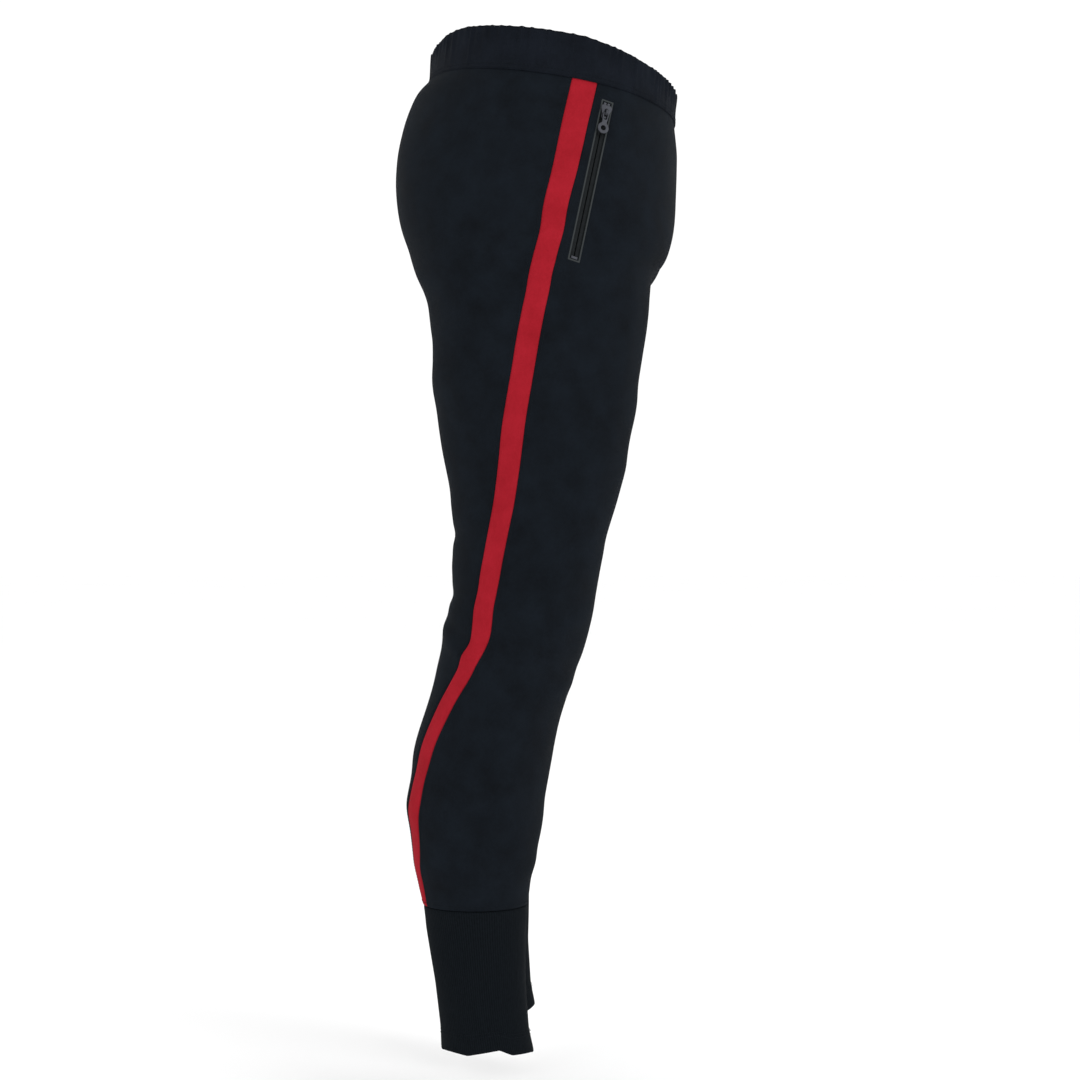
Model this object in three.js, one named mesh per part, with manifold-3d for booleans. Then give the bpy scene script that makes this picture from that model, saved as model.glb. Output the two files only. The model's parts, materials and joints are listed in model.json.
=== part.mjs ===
// Slim warm-up trousers for hockey: an elastic waist, a stripe down each side, zipped side pockets
// and a tapered rib panel at each ankle.
// Millimetres. +Z is up, the front faces -Y and the wearer's right leg is on the -X side.
// The origin is the middle of the waist opening, at the top of the waistband.

import * as THREE from 'three';
import Module from 'manifold-3d';

const wasm = await Module();
wasm.setup();

// ---------------------------------------------------------------- driving dimensions
const RISE = 240;             // top of the waistband down to the crotch, at the middle of the body
const INSEAM = 716;           // crotch down to the hem
const HIP_HALF_WIDTH = 187;   // middle of the body out to the widest point of a hip
const HIP_DEPTH = 273;        // front of the body to the seat
const RIM_SLOPE = 0.158;      // the waistband sits this much higher at the back, per mm of depth
const BAND_HEIGHT = 40;       // finished height of the waistband
const CUFF_LEVEL = 1.804;     // where the rib panel begins, as a level between crotch 1 and hem 2

const CLOTH = 1.2;            // double knit
const RIB = 1.5;              // rib knit of the ankle panel
const ELASTIC = 1.2;          // woven elastic in the waist
const MESH_CLOTH = 0.7;       // pocket lining
const SEAM_GAP = 0.3;         // between two sewn edges
const LAYER_GAP = 0.3;        // between two layers lying on each other
const BAND_LAP = 6;           // how far the trouser cloth goes up inside the waistband
const HEM_TURN = 22;          // rib turned up inside the hem

const STRIPE_TOP = 22.5;      // width of the side stripe at the waist
const STRIPE_LOW = 19;        // its width from the middle of the thigh down

// Pocket zip. It starts just under the waistband and runs down ahead of the stripe.
const ZIP_BELOW_BAND = 15.5;
const ZIP_END_LEVEL = 0.8875;
const ZIP_END_AHEAD = 19.2;   // front edge of the stripe to the middle of the zip, at its lower end
const WINDOW_HALF = 4.4;      // half the width of the slot the zip shows through
const TAPE_HALF = 10.4;
const TAPE_MARGIN = 1.2;      // between the tape and the stripe, at the zip's upper end
const TAPE = 0.6;
const TAPE_SPARE = 5;         // tape past each end of the teeth
const TEETH_GAP = 0.75;       // middle of the zip to either row of teeth
const TEETH_OUT = 3;          // middle of the zip to the outer side of the teeth
const TEETH_DEEP = 1.6;
const STOP_LONG = 2.6;
const FLAT_REACH = 12;        // the cloth is dead flat this far around the zip
const FLAT_FADE = 26;         // and takes up the body's curve again over this much more

const SLIDER_LONG = 13.5;
const SLIDER_HEAD = 11.6;     // width across the shoulders
const SLIDER_TAIL = 7.4;
const PLATE = 1.5;
const RUN = 0.4;              // running clearance of the slider
const BRIDGE_WIDE = 2.4;
const BRIDGE_FROM = 4;
const BRIDGE_TO = 11.2;
const BRIDGE_WALL = 1.2;
const PIN_AT = 8.9;           // hinge of the pull, down from the head of the slider
const PIN_RADIUS = 0.7;
const ARM_WIDE = 1.4;
const ARM_REACH = 6.2;        // hinge to the inner end of the yoke
const RING_AT = 14.6;         // hinge to the middle of the ring
const RING_OUTER = 5.5;
const RING_HOLE = 2.3;
const PULL_THICK = 1.4;

const BAG_REACH = 128;        // how far the pocket goes forward from the zip
const BAG_BELOW_BAND = 2;
const BAG_BOTTOM = 1.03;      // level of the bottom of the pocket

const LABEL_HALF = 14;
const LABEL_DROP = 46;

const FRONT_COLUMNS = 10;
const STRIPE_COLUMNS = 2;
const BACK_COLUMNS = 10;

// Shape of the body and legs. Each row is one level: 0 is the top of the waist, 1 the crotch and
// 2 the hem. Then the outer side and the inner side, as shares of the hip half width measured from
// the middle of the body, and the front and the back, as shares of the hip depth. An inner side
// above zero reaches past the middle, where the two legs run into one another.
const SHAPE = [
  [0.000, -0.832, 0.832, -0.436, 0.440],
  [0.080, -0.842, 0.842, -0.435, 0.462],
  [0.170, -0.858, 0.858, -0.434, 0.496],
  [0.290, -0.885, 0.885, -0.433, 0.534],
  [0.420, -0.915, 0.890, -0.431, 0.558],
  [0.540, -0.941, 0.830, -0.426, 0.566],
  [0.660, -0.965, 0.655, -0.414, 0.554],
  [0.760, -0.983, 0.450, -0.394, 0.526],
  [0.870, -0.998, 0.200, -0.342, 0.492],
  [0.940, -1.000, 0.080, -0.322, 0.462],
  [1.000, -0.999, -0.001, -0.319, 0.444],
  [1.060, -0.989, -0.050, -0.306, 0.434],
  [1.168, -0.957, -0.104, -0.261, 0.409],
  [1.274, -0.920, -0.144, -0.206, 0.362],
  [1.339, -0.898, -0.160, -0.154, 0.354],
  [1.405, -0.890, -0.172, -0.128, 0.366],
  [1.460, -0.887, -0.182, -0.095, 0.400],
  [1.513, -0.882, -0.187, -0.043, 0.427],
  [1.566, -0.877, -0.193, -0.002, 0.470],
  [1.619, -0.871, -0.200, 0.026, 0.498],
  [1.672, -0.863, -0.204, 0.044, 0.511],
  [1.726, -0.847, -0.222, 0.068, 0.503],
  [1.804, -0.802, -0.262, 0.096, 0.463],
  [1.884, -0.778, -0.284, 0.102, 0.430],
  [1.939, -0.775, -0.286, 0.100, 0.406],
  [2.000, -0.781, -0.278, 0.072, 0.400],
];

// Roundness of each level: 2 is an ellipse and more is squarer.
const ROUNDNESS = [
  [0.00, 2.10],
  [0.50, 2.25],
  [0.80, 2.45],
  [1.05, 2.25],
  [1.30, 2.10],
  [2.00, 2.05],
];

// Where the middle of the stripe lies around the leg, in degrees from the outer side to the back.
const STRIPE_TURN = [
  [0.00, -15.5],
  [0.19, -14.4],
  [0.45, -12.4],
  [0.76, -6.2],
  [1.00, 1.2],
  [1.12, 8.4],
  [1.22, 15.6],
  [1.34, 26.0],
  [1.45, 31.5],
  [1.51, 39.5],
  [1.61, 54.0],
  [1.67, 62.0],
  [1.73, 71.0],
  [1.80, 78.0],
  [2.00, 86.0],
];

// Levels of the rows of stitches the cloth panels are built on, waist first.
const PANEL_LEVELS = [
  (BAND_HEIGHT + 10) / RISE, 0.27, 0.34, 0.43, 0.53, 0.62, 0.70, 0.77, 0.83, 0.88, 0.92, 0.955, 0.985, 1.00,
  1.02, 1.05, 1.10, 1.16, 1.22, 1.274, 1.31, 1.345, 1.38, 1.42, 1.46, 1.50, 1.54,
  1.585, 1.635, 1.69, 1.75,
];

// ---------------------------------------------------------------- finishes
const NAVY_KNIT = { color: 0x15191e, roughness: 0.86, metalness: 0 };
const RED_KNIT = { color: 0x9a1c26, roughness: 0.84, metalness: 0 };
const NAVY_RIB = { color: 0x13171b, roughness: 0.9, metalness: 0 };
const WHITE_ELASTIC = { color: 0xc9c7c0, roughness: 0.8, metalness: 0 };
const ZIP_CLOTH = { color: 0x1a1e22, roughness: 0.8, metalness: 0 };
const NYLON = { color: 0x23272a, roughness: 0.5, metalness: 0 };
const ZINC = { color: 0x6a6a78, roughness: 0.38, metalness: 0.85 };
const LINING = { color: 0x1c2024, roughness: 0.88, metalness: 0 };
const LABEL = { color: 0xd8d6d0, roughness: 0.7, metalness: 0 };

// ---------------------------------------------------------------- curves through the tables
const levelDrop = (level) => (level <= 1 ? RISE * level : RISE + INSEAM * (level - 1));

function smooth(t) {
  const c = Math.min(1, Math.max(0, t));
  return c * c * (3 - 2 * c);
}

// A smooth curve through one column of a table, with no overshoot, read by level.
function curve(rows, column = 1) {
  const at = rows.map((row) => levelDrop(row[0]));
  const value = rows.map((row) => row[column]);
  const last = rows.length - 1;
  const step = [];
  for (let i = 0; i < last; i += 1) {
    step.push((value[i + 1] - value[i]) / (at[i + 1] - at[i]));
  }
  const tangent = [step[0]];
  for (let i = 1; i < last; i += 1) {
    const same = step[i - 1] * step[i] > 0;
    tangent.push(same ? (2 * step[i - 1] * step[i]) / (step[i - 1] + step[i]) : 0);
  }
  tangent.push(step[last - 1]);
  return (level) => {
    const drop = levelDrop(level);
    let i = 0;
    while (i < last - 1 && drop > at[i + 1]) {
      i += 1;
    }
    const wide = at[i + 1] - at[i];
    const t = (drop - at[i]) / wide;
    if (t < 0) {
      return value[i] + tangent[i] * wide * t;
    }
    if (t > 1) {
      return value[i + 1] + tangent[i + 1] * wide * (t - 1);
    }
    const t2 = t * t;
    const t3 = t2 * t;
    return (2 * t3 - 3 * t2 + 1) * value[i]
      + (t3 - 2 * t2 + t) * wide * tangent[i]
      + (3 * t2 - 2 * t3) * value[i + 1]
      + (t3 - t2) * wide * tangent[i + 1];
  };
}

const outerShare = curve(SHAPE, 1);
const innerShare = curve(SHAPE, 2);
const frontShare = curve(SHAPE, 3);
const backShare = curve(SHAPE, 4);
const roundness = curve(ROUNDNESS);
const stripeTurn = curve(STRIPE_TURN);

// ---------------------------------------------------------------- one level of the right half
const slopeAt = (level) => RIM_SLOPE * (1 - smooth((level - 0.1) / 0.85));

const LOOP_STEPS = 720;
const loops = new Map();

function loopAt(level) {
  if (loops.has(level)) {
    return loops.get(level);
  }
  const tilt = slopeAt(level) * HIP_DEPTH / (2 * RISE);
  const outer = outerShare(level) * HIP_HALF_WIDTH;
  const inner = innerShare(level) * HIP_HALF_WIDTH;
  const front = frontShare(Math.max(0, level + tilt)) * HIP_DEPTH;
  const back = backShare(Math.max(0, level - tilt)) * HIP_DEPTH;
  const power = 2 / roundness(level);
  const middleX = (outer + inner) / 2;
  const middleY = (front + back) / 2;
  const halfX = (inner - outer) / 2;
  const halfY = (back - front) / 2;
  const points = [];
  for (let i = 0; i <= LOOP_STEPS; i += 1) {
    const turn = -Math.PI + (2 * Math.PI * i) / LOOP_STEPS;
    const c = Math.cos(turn);
    const s = Math.sin(turn);
    points.push([
      middleX - halfX * Math.sign(c) * Math.abs(c) ** power,
      middleY + halfY * Math.sign(s) * Math.abs(s) ** power,
    ]);
  }
  const along = [0];
  for (let i = 1; i <= LOOP_STEPS; i += 1) {
    const dx = points[i][0] - points[i - 1][0];
    const dy = points[i][1] - points[i - 1][1];
    along.push(along[i - 1] + Math.hypot(dx, dy));
  }
  const loop = { level, points, along, total: along[LOOP_STEPS] };
  loops.set(level, loop);
  // The two ends of the half: where it meets the middle of the body, or the inseam of the leg.
  const edge = -SEAM_GAP / 2;
  if (inner > edge) {
    let i = 0;
    while (points[i][0] > edge) {
      i += 1;
    }
    const a = (points[i - 1][0] - edge) / (points[i - 1][0] - points[i][0]);
    loop.start = along[i - 1] + a * (along[i] - along[i - 1]);
    let k = LOOP_STEPS;
    while (points[k][0] > edge) {
      k -= 1;
    }
    const b = (points[k + 1][0] - edge) / (points[k + 1][0] - points[k][0]);
    loop.end = along[k + 1] - b * (along[k + 1] - along[k]);
  } else {
    loop.start = SEAM_GAP / 2;
    loop.end = loop.total - SEAM_GAP / 2;
  }
  const turn = (stripeTurn(level) / 360 + 0.5) * LOOP_STEPS;
  const low = Math.floor(turn);
  loop.stripe = along[low] + (turn - low) * (along[low + 1] - along[low]);
  return loop;
}

function onLoop(loop, at) {
  const wrapped = ((at % loop.total) + loop.total) % loop.total;
  let low = 0;
  let high = LOOP_STEPS;
  while (high - low > 1) {
    const mid = (low + high) >> 1;
    if (loop.along[mid] <= wrapped) {
      low = mid;
    } else {
      high = mid;
    }
  }
  const t = (wrapped - loop.along[low]) / (loop.along[high] - loop.along[low]);
  return [
    loop.points[low][0] + t * (loop.points[high][0] - loop.points[low][0]),
    loop.points[low][1] + t * (loop.points[high][1] - loop.points[low][1]),
  ];
}

function bodyPoint(level, at) {
  const [x, y] = onLoop(loopAt(level), at);
  return new THREE.Vector3(x, y, -levelDrop(level) + slopeAt(level) * y);
}

const stripeHalf = (level) => {
  const t = smooth((level - 0.2) / 0.9);
  return (STRIPE_TOP + (STRIPE_LOW - STRIPE_TOP) * t) / 2;
};

// ---------------------------------------------------------------- the flat around the zip
// Finds the body's own surface at a depth and a height, on the outer side of the right half.
function bodySide(y, z) {
  let low = 0.02;
  let high = 1.3;
  let found = null;
  for (let i = 0; i < 40; i += 1) {
    const level = (low + high) / 2;
    const loop = loopAt(level);
    let from = loop.total * 0.25;
    let to = loop.total * 0.75;
    for (let k = 0; k < 40; k += 1) {
      const mid = (from + to) / 2;
      if (onLoop(loop, mid)[1] < y) {
        from = mid;
      } else {
        to = mid;
      }
    }
    found = bodyPoint(level, (from + to) / 2);
    if (found.z > z) {
      low = level;
    } else {
      high = level;
    }
  }
  return found;
}

function aheadOfStripe(level, ahead) {
  const loop = loopAt(level);
  return bodyPoint(level, loop.stripe - stripeHalf(level) - ahead);
}

const zipTop = aheadOfStripe((BAND_HEIGHT + ZIP_BELOW_BAND) / RISE, TAPE_HALF + TAPE_MARGIN);
const zipBottom = aheadOfStripe(ZIP_END_LEVEL, ZIP_END_AHEAD);
const zipDown = zipBottom.clone().sub(zipTop);
const ZIP_LONG = zipDown.length();
zipDown.normalize();
const sideways = bodySide(zipTop.y + 8, zipTop.z).sub(bodySide(zipTop.y - 8, zipTop.z));
const sidewaysLow = bodySide(zipBottom.y + 8, zipBottom.z)
  .sub(bodySide(zipBottom.y - 8, zipBottom.z));
const zipOut = zipDown.clone().cross(sideways.add(sidewaysLow)).negate().normalize();
if (zipOut.x > 0) {
  zipOut.negate();
}
const zipBack = zipDown.clone().cross(zipOut).normalize();

function settled(point) {
  const from = point.clone().sub(zipTop);
  const down = Math.min(ZIP_LONG, Math.max(0, from.dot(zipDown)));
  const flatX = zipTop.x
    - (zipOut.y * (point.y - zipTop.y) + zipOut.z * (point.z - zipTop.z)) / zipOut.x;
  const nearest = zipTop.clone().addScaledVector(zipDown, down);
  const away = Math.hypot(point.y - nearest.y, point.z - nearest.z);
  const underBand = -point.z + RIM_SLOPE * point.y - BAND_HEIGHT;
  const share = (1 - smooth((away - FLAT_REACH) / FLAT_FADE)) * smooth((underBand - 1) / 9);
  if (point.x > 0) {
    return point.clone();
  }
  return new THREE.Vector3(point.x + (flatX - point.x) * share, point.y, point.z);
}

// A point of the right half: its level, how far round the loop, and how far out of the cloth.
const SMALL_LEVEL = 0.0008;
const SMALL_STEP = 0.6;

function clothPoint(level, at, out = 0) {
  const point = settled(bodyPoint(level, at));
  if (out === 0) {
    return point;
  }
  const loop = loopAt(level);
  const share = (at - loop.stripe) / loop.total;
  const above = loopAt(level - SMALL_LEVEL);
  const below = loopAt(level + SMALL_LEVEL);
  const round = settled(bodyPoint(level, at + SMALL_STEP))
    .sub(settled(bodyPoint(level, at - SMALL_STEP)));
  const down = settled(bodyPoint(below.level, below.stripe + share * below.total))
    .sub(settled(bodyPoint(above.level, above.stripe + share * above.total)));
  const normal = down.cross(round).normalize();
  return point.addScaledVector(normal, -out);
}

// ---------------------------------------------------------------- closed solids
function solid(points, faces) {
  const geometry = new THREE.BufferGeometry();
  const flat = points.flatMap((p) => [p.x, p.y, p.z]);
  geometry.setAttribute('position', new THREE.Float32BufferAttribute(flat, 3));
  geometry.setIndex(faces.flat());
  return geometry;
}

// Four corners as two triangles, split along the shorter diagonal so that two layers lying on
// each other are split the same way.
function quadFaces(points, a, b, c, d) {
  const first = points[a].distanceTo(points[c]);
  const second = points[b].distanceTo(points[d]);
  return first < second ? [[a, b, c], [a, c, d]] : [[a, b, d], [b, c, d]];
}

// A sheet of cloth from two grids of points, the outside one and the inside one.
function sheet(outside, inside) {
  const rows = outside.length;
  const columns = outside[0].length;
  const points = [...outside.flat(), ...inside.flat()];
  const o = (i, j) => i * columns + j;
  const n = (i, j) => rows * columns + i * columns + j;
  const faces = [];
  const quad = (a, b, c, d) => faces.push(...quadFaces(points, a, b, c, d));
  for (let i = 0; i < rows - 1; i += 1) {
    for (let j = 0; j < columns - 1; j += 1) {
      quad(o(i, j), o(i + 1, j), o(i + 1, j + 1), o(i, j + 1));
      quad(n(i, j), n(i, j + 1), n(i + 1, j + 1), n(i + 1, j));
    }
  }
  for (let j = 0; j < columns - 1; j += 1) {
    quad(o(0, j), o(0, j + 1), n(0, j + 1), n(0, j));
    quad(o(rows - 1, j), n(rows - 1, j), n(rows - 1, j + 1), o(rows - 1, j + 1));
  }
  for (let i = 0; i < rows - 1; i += 1) {
    quad(o(i, 0), n(i, 0), n(i + 1, 0), o(i + 1, 0));
    quad(o(i, columns - 1), o(i + 1, columns - 1), n(i + 1, columns - 1), n(i, columns - 1));
  }
  return outward(solid(points, faces));
}

// A closed ring from rings of points, each ring being the same closed outline further round.
function ring(outlines) {
  const count = outlines.length;
  const size = outlines[0].length;
  const points = outlines.flat();
  const faces = [];
  for (let i = 0; i < count; i += 1) {
    const next = (i + 1) % count;
    for (let j = 0; j < size; j += 1) {
      const k = (j + 1) % size;
      const a = i * size + j;
      const b = i * size + k;
      const c = next * size + k;
      const d = next * size + j;
      faces.push(...quadFaces(points, a, b, c, d));
    }
  }
  return outward(solid(points, faces));
}

function volume(geometry) {
  const p = geometry.attributes.position;
  const index = geometry.index;
  const a = new THREE.Vector3();
  const b = new THREE.Vector3();
  const c = new THREE.Vector3();
  let sum = 0;
  for (let i = 0; i < index.count; i += 3) {
    a.fromBufferAttribute(p, index.getX(i));
    b.fromBufferAttribute(p, index.getX(i + 1));
    c.fromBufferAttribute(p, index.getX(i + 2));
    sum += a.dot(b.cross(c)) / 6;
  }
  return sum;
}

function flipped(geometry) {
  const index = Array.from(geometry.index.array);
  for (let i = 0; i < index.length; i += 3) {
    [index[i], index[i + 1]] = [index[i + 1], index[i]];
  }
  geometry.setIndex(index);
  return geometry;
}

function outward(geometry) {
  return volume(geometry) < 0 ? flipped(geometry) : geometry;
}

function mirrored(geometry) {
  const copy = geometry.clone();
  copy.applyMatrix4(new THREE.Matrix4().makeScale(-1, 1, 1));
  return flipped(copy);
}

// An upright block through a flat outline, kept in the zip's own directions: x to the back,
// y down the zip and z out of the cloth.
function block(outline, low, high) {
  const size = outline.length;
  const points = [
    ...outline.map(([x, y]) => new THREE.Vector3(x, y, low)),
    ...outline.map(([x, y]) => new THREE.Vector3(x, y, high)),
  ];
  const faces = [];
  const corners = outline.map(([x, y]) => new THREE.Vector2(x, y));
  for (const [a, b, c] of THREE.ShapeUtils.triangulateShape(corners, [])) {
    faces.push([c, b, a], [a + size, b + size, c + size]);
  }
  for (let i = 0; i < size; i += 1) {
    const k = (i + 1) % size;
    faces.push([i, k, k + size], [i, k + size, i + size]);
  }
  return outward(solid(points, faces));
}

function box(x0, x1, y0, y1, z0, z1) {
  return block([[x0, y0], [x1, y0], [x1, y1], [x0, y1]], z0, z1);
}

function circle(x, y, radius, count) {
  const out = [];
  for (let i = 0; i < count; i += 1) {
    const turn = (2 * Math.PI * i) / count;
    out.push([x + radius * Math.cos(turn), y + radius * Math.sin(turn)]);
  }
  return out;
}

function toManifold(geometry) {
  return new wasm.Manifold(new wasm.Mesh({
    numProp: 3,
    vertProperties: Float32Array.from(geometry.attributes.position.array),
    triVerts: Uint32Array.from(geometry.index.array),
  }));
}

function fromManifold(body) {
  const mesh = body.getMesh();
  const geometry = new THREE.BufferGeometry();
  const count = mesh.vertProperties.length / mesh.numProp;
  const flat = [];
  for (let i = 0; i < count; i += 1) {
    flat.push(...mesh.vertProperties.slice(i * mesh.numProp, i * mesh.numProp + 3));
  }
  geometry.setAttribute('position', new THREE.Float32BufferAttribute(flat, 3));
  geometry.setIndex(Array.from(mesh.triVerts));
  return geometry;
}

function joined(...pieces) {
  return fromManifold(pieces.map(toManifold).reduce((a, b) => a.add(b)));
}

function cutFrom(piece, ...tools) {
  return fromManifold(tools.map(toManifold).reduce((a, b) => a.subtract(b), toManifold(piece)));
}

const zipFrame = new THREE.Matrix4().makeBasis(zipBack, zipDown, zipOut).setPosition(zipTop);
const onZip = (geometry) => geometry.clone().applyMatrix4(zipFrame);

// ---------------------------------------------------------------- the model
const group = new THREE.Group();

function add(name, geometry, finish) {
  const mesh = new THREE.Mesh(geometry, new THREE.MeshStandardMaterial(finish));
  mesh.name = name;
  group.add(mesh);
}

function addPair(name, geometry, finish) {
  add(`right_${name}`, geometry, finish);
  add(`left_${name}`, mirrored(geometry), finish);
}

// Where the zip crosses a level, as a distance round that level's loop.
function zipArc(loop) {
  let from = loop.total * 0.25;
  let to = loop.total * 0.75;
  for (let k = 0; k < 40; k += 1) {
    const mid = (from + to) / 2;
    const p = bodyPoint(loop.level, mid);
    const down = (zipTop.z - p.z) / (zipTop.z - zipBottom.z);
    const lineY = zipTop.y + (zipBottom.y - zipTop.y) * down;
    if (p.y < lineY) {
      from = mid;
    } else {
      to = mid;
    }
  }
  return (from + to) / 2;
}

// The zip's distance ahead of the middle of the stripe. Below the zip it stays what it was.
function zipAhead(loop) {
  const shown = loop.level < ZIP_END_LEVEL ? loop : loopAt(ZIP_END_LEVEL);
  return shown.stripe - zipArc(shown);
}

// ---------------------------------------------------------------- cloth panels and stripes
// The front panel has a column of its own on each side of the flat around the zip.
function frontArc(loop, share) {
  const column = Math.round(share * FRONT_COLUMNS);
  if (column === 0) {
    return loop.stripe - stripeHalf(loop.level) - SEAM_GAP / 2;
  }
  const middle = loop.stripe - zipAhead(loop);
  if (column === 1) {
    return middle + TAPE_HALF + 0.5;
  }
  const from = middle - TAPE_HALF - 0.5;
  return from + (loop.start - from) * ((column - 2) / (FRONT_COLUMNS - 2));
}

function backArc(loop, share) {
  const from = loop.stripe + stripeHalf(loop.level) + SEAM_GAP / 2;
  return from + (loop.end - from) * share;
}

function stripeArc(loop, share) {
  const half = stripeHalf(loop.level) - SEAM_GAP / 2;
  return loop.stripe - half + 2 * half * share;
}

const bandLevel = BAND_HEIGHT / RISE;
const tuckLevel = (BAND_HEIGHT - BAND_LAP) / RISE;
const panelEnd = CUFF_LEVEL - SEAM_GAP / INSEAM;
const panelLevels = [tuckLevel, bandLevel, ...PANEL_LEVELS, panelEnd];

function panel(arc, columns) {
  const grid = (out) => panelLevels.map((level) => {
    const loop = loopAt(level);
    const row = [];
    for (let j = 0; j <= columns; j += 1) {
      row.push(clothPoint(level, arc(loop, j / columns), out));
    }
    return row;
  });
  return sheet(grid(0), grid(-CLOTH));
}

const window = onZip(box(-WINDOW_HALF, WINDOW_HALF, 0, ZIP_LONG, -3 * CLOTH, 3 * CLOTH));
addPair('front_panel', cutFrom(panel(frontArc, FRONT_COLUMNS), window), NAVY_KNIT);
addPair('side_stripe', panel(stripeArc, STRIPE_COLUMNS), RED_KNIT);
addPair('back_panel', panel(backArc, BACK_COLUMNS), NAVY_KNIT);

// ---------------------------------------------------------------- waistband
// The places round the waist where the band has a corner, right half then left half.
function waistArcs(loop) {
  const arcs = [];
  for (let j = FRONT_COLUMNS; j >= 0; j -= 1) {
    arcs.push(frontArc(loop, j / FRONT_COLUMNS));
  }
  arcs.push(loop.stripe);
  for (let j = 0; j <= BACK_COLUMNS; j += 1) {
    arcs.push(backArc(loop, j / BACK_COLUMNS));
  }
  return arcs;
}

const flipX = (p) => new THREE.Vector3(-p.x, p.y, p.z);

function waistRing(profile) {
  const count = waistArcs(loopAt(0)).length;
  const right = [];
  for (let k = 0; k < count; k += 1) {
    right.push(profile.map(([drop, out]) => {
      const level = drop / RISE;
      const p = clothPoint(level, waistArcs(loopAt(level))[k], out);
      if (k === 0 || k === count - 1) {
        p.x = 0;
      }
      return p;
    }));
  }
  const left = right.slice(1, -1).map((outline) => outline.map(flipX)).reverse();
  return ring([...right, ...left]);
}

const bandOut = LAYER_GAP + CLOTH;
const bandIn = -CLOTH - LAYER_GAP - CLOTH;
add('waistband_casing', waistRing([
  [BAND_HEIGHT, LAYER_GAP],
  [BAND_HEIGHT, bandOut],
  [BAND_HEIGHT - BAND_LAP, bandOut],
  [1, bandOut],
  [0, bandOut - 1],
  [0, bandIn + 1],
  [1, bandIn],
  [BAND_HEIGHT - BAND_LAP, bandIn],
  [BAND_HEIGHT, bandIn],
  [BAND_HEIGHT, bandIn + CLOTH],
  [BAND_HEIGHT - BAND_LAP, bandIn + CLOTH],
  [CLOTH, bandIn + CLOTH],
  [CLOTH, LAYER_GAP],
  [BAND_HEIGHT - BAND_LAP, LAYER_GAP],
]), NAVY_KNIT);

const elasticTop = CLOTH + LAYER_GAP;
const elasticLow = BAND_HEIGHT - BAND_LAP - LAYER_GAP;
add('waistband_elastic', waistRing([
  [elasticLow, 0],
  [elasticTop, 0],
  [elasticTop, -ELASTIC],
  [elasticLow, -ELASTIC],
]), WHITE_ELASTIC);

// A blank care label, caught in the seam inside the back of the waistband.
const labelArcs = [LABEL_HALF, LABEL_HALF / 2];
function labelGrid(out) {
  const rows = [BAND_HEIGHT - 4, BAND_HEIGHT, BAND_HEIGHT + LABEL_DROP / 2, BAND_HEIGHT + LABEL_DROP];
  return rows.map((drop) => {
    const level = drop / RISE;
    const loop = loopAt(level);
    const right = labelArcs.map((back) => clothPoint(level, loop.end - back, out));
    const middle = clothPoint(level, loop.end, out);
    middle.x = 0;
    return [...right, middle, ...right.map(flipX).reverse()];
  });
}
const labelOut = bandIn - 2 * LAYER_GAP;
add('care_label', sheet(labelGrid(labelOut), labelGrid(labelOut - 0.4)), LABEL);

// ---------------------------------------------------------------- ankle panels
const CUFF_SIDES = 26;

function cuffRing() {
  const turnUp = 2 - HEM_TURN / INSEAM;
  const middle = (CUFF_LEVEL + 2) / 2;
  const round = 0.5 / INSEAM;
  const inner = -RIB - LAYER_GAP;
  const profile = [
    [CUFF_LEVEL, 0],
    [CUFF_LEVEL + 0.035, 0],
    [middle, 0],
    [turnUp, 0],
    [2 - round, 0],
    [2, -0.5],
    [2, inner - RIB + 0.5],
    [2 - round, inner - RIB],
    [turnUp, inner - RIB],
    [turnUp, inner],
    [2 - 2 * round - LAYER_GAP / INSEAM, inner],
    [2 - 2 * round - LAYER_GAP / INSEAM, -RIB],
    [turnUp, -RIB],
    [middle, -RIB],
    [CUFF_LEVEL + 0.035, -RIB],
    [CUFF_LEVEL, -RIB],
  ];
  const outlines = [];
  for (let k = 0; k < CUFF_SIDES; k += 1) {
    outlines.push(profile.map(([level, out]) => {
      const loop = loopAt(level);
      return clothPoint(level, loop.total * (k / CUFF_SIDES), out);
    }));
  }
  return ring(outlines);
}
addPair('ankle_cuff', cuffRing(), NAVY_RIB);

// ---------------------------------------------------------------- pocket zip
// Depths through the layers, measured from the outer face of the cloth.
const tapeTop = -CLOTH - LAYER_GAP;
const tapeLow = tapeTop - TAPE;
const teethTop = tapeLow - LAYER_GAP;
const teethLow = teethTop - TEETH_DEEP;

const tapeShape = box(TEETH_GAP, TAPE_HALF, -TAPE_SPARE, ZIP_LONG + TAPE_SPARE, tapeLow, tapeTop);
addPair('zip_tape_back', onZip(tapeShape), ZIP_CLOTH);
addPair('zip_tape_front', onZip(mirrored(tapeShape)), ZIP_CLOTH);

const teethFrom = STOP_LONG + 1.2;
const teethTo = ZIP_LONG - 1;
const teethShape = box(TEETH_GAP, TEETH_OUT, teethFrom, teethTo, teethLow, teethTop);
addPair('zip_teeth_back', onZip(teethShape), NYLON);
addPair('zip_teeth_front', onZip(mirrored(teethShape)), NYLON);

const stopTop = 0;
const stopLow = -CLOTH;
const stopHalf = WINDOW_HALF - 1;
const stop = (from) => onZip(box(-stopHalf, stopHalf, from, from + STOP_LONG, stopLow, stopTop));
addPair('zip_top_stop', stop(0.6), ZINC);
addPair('zip_bottom_stop', stop(ZIP_LONG - 0.6 - STOP_LONG), ZINC);

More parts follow.
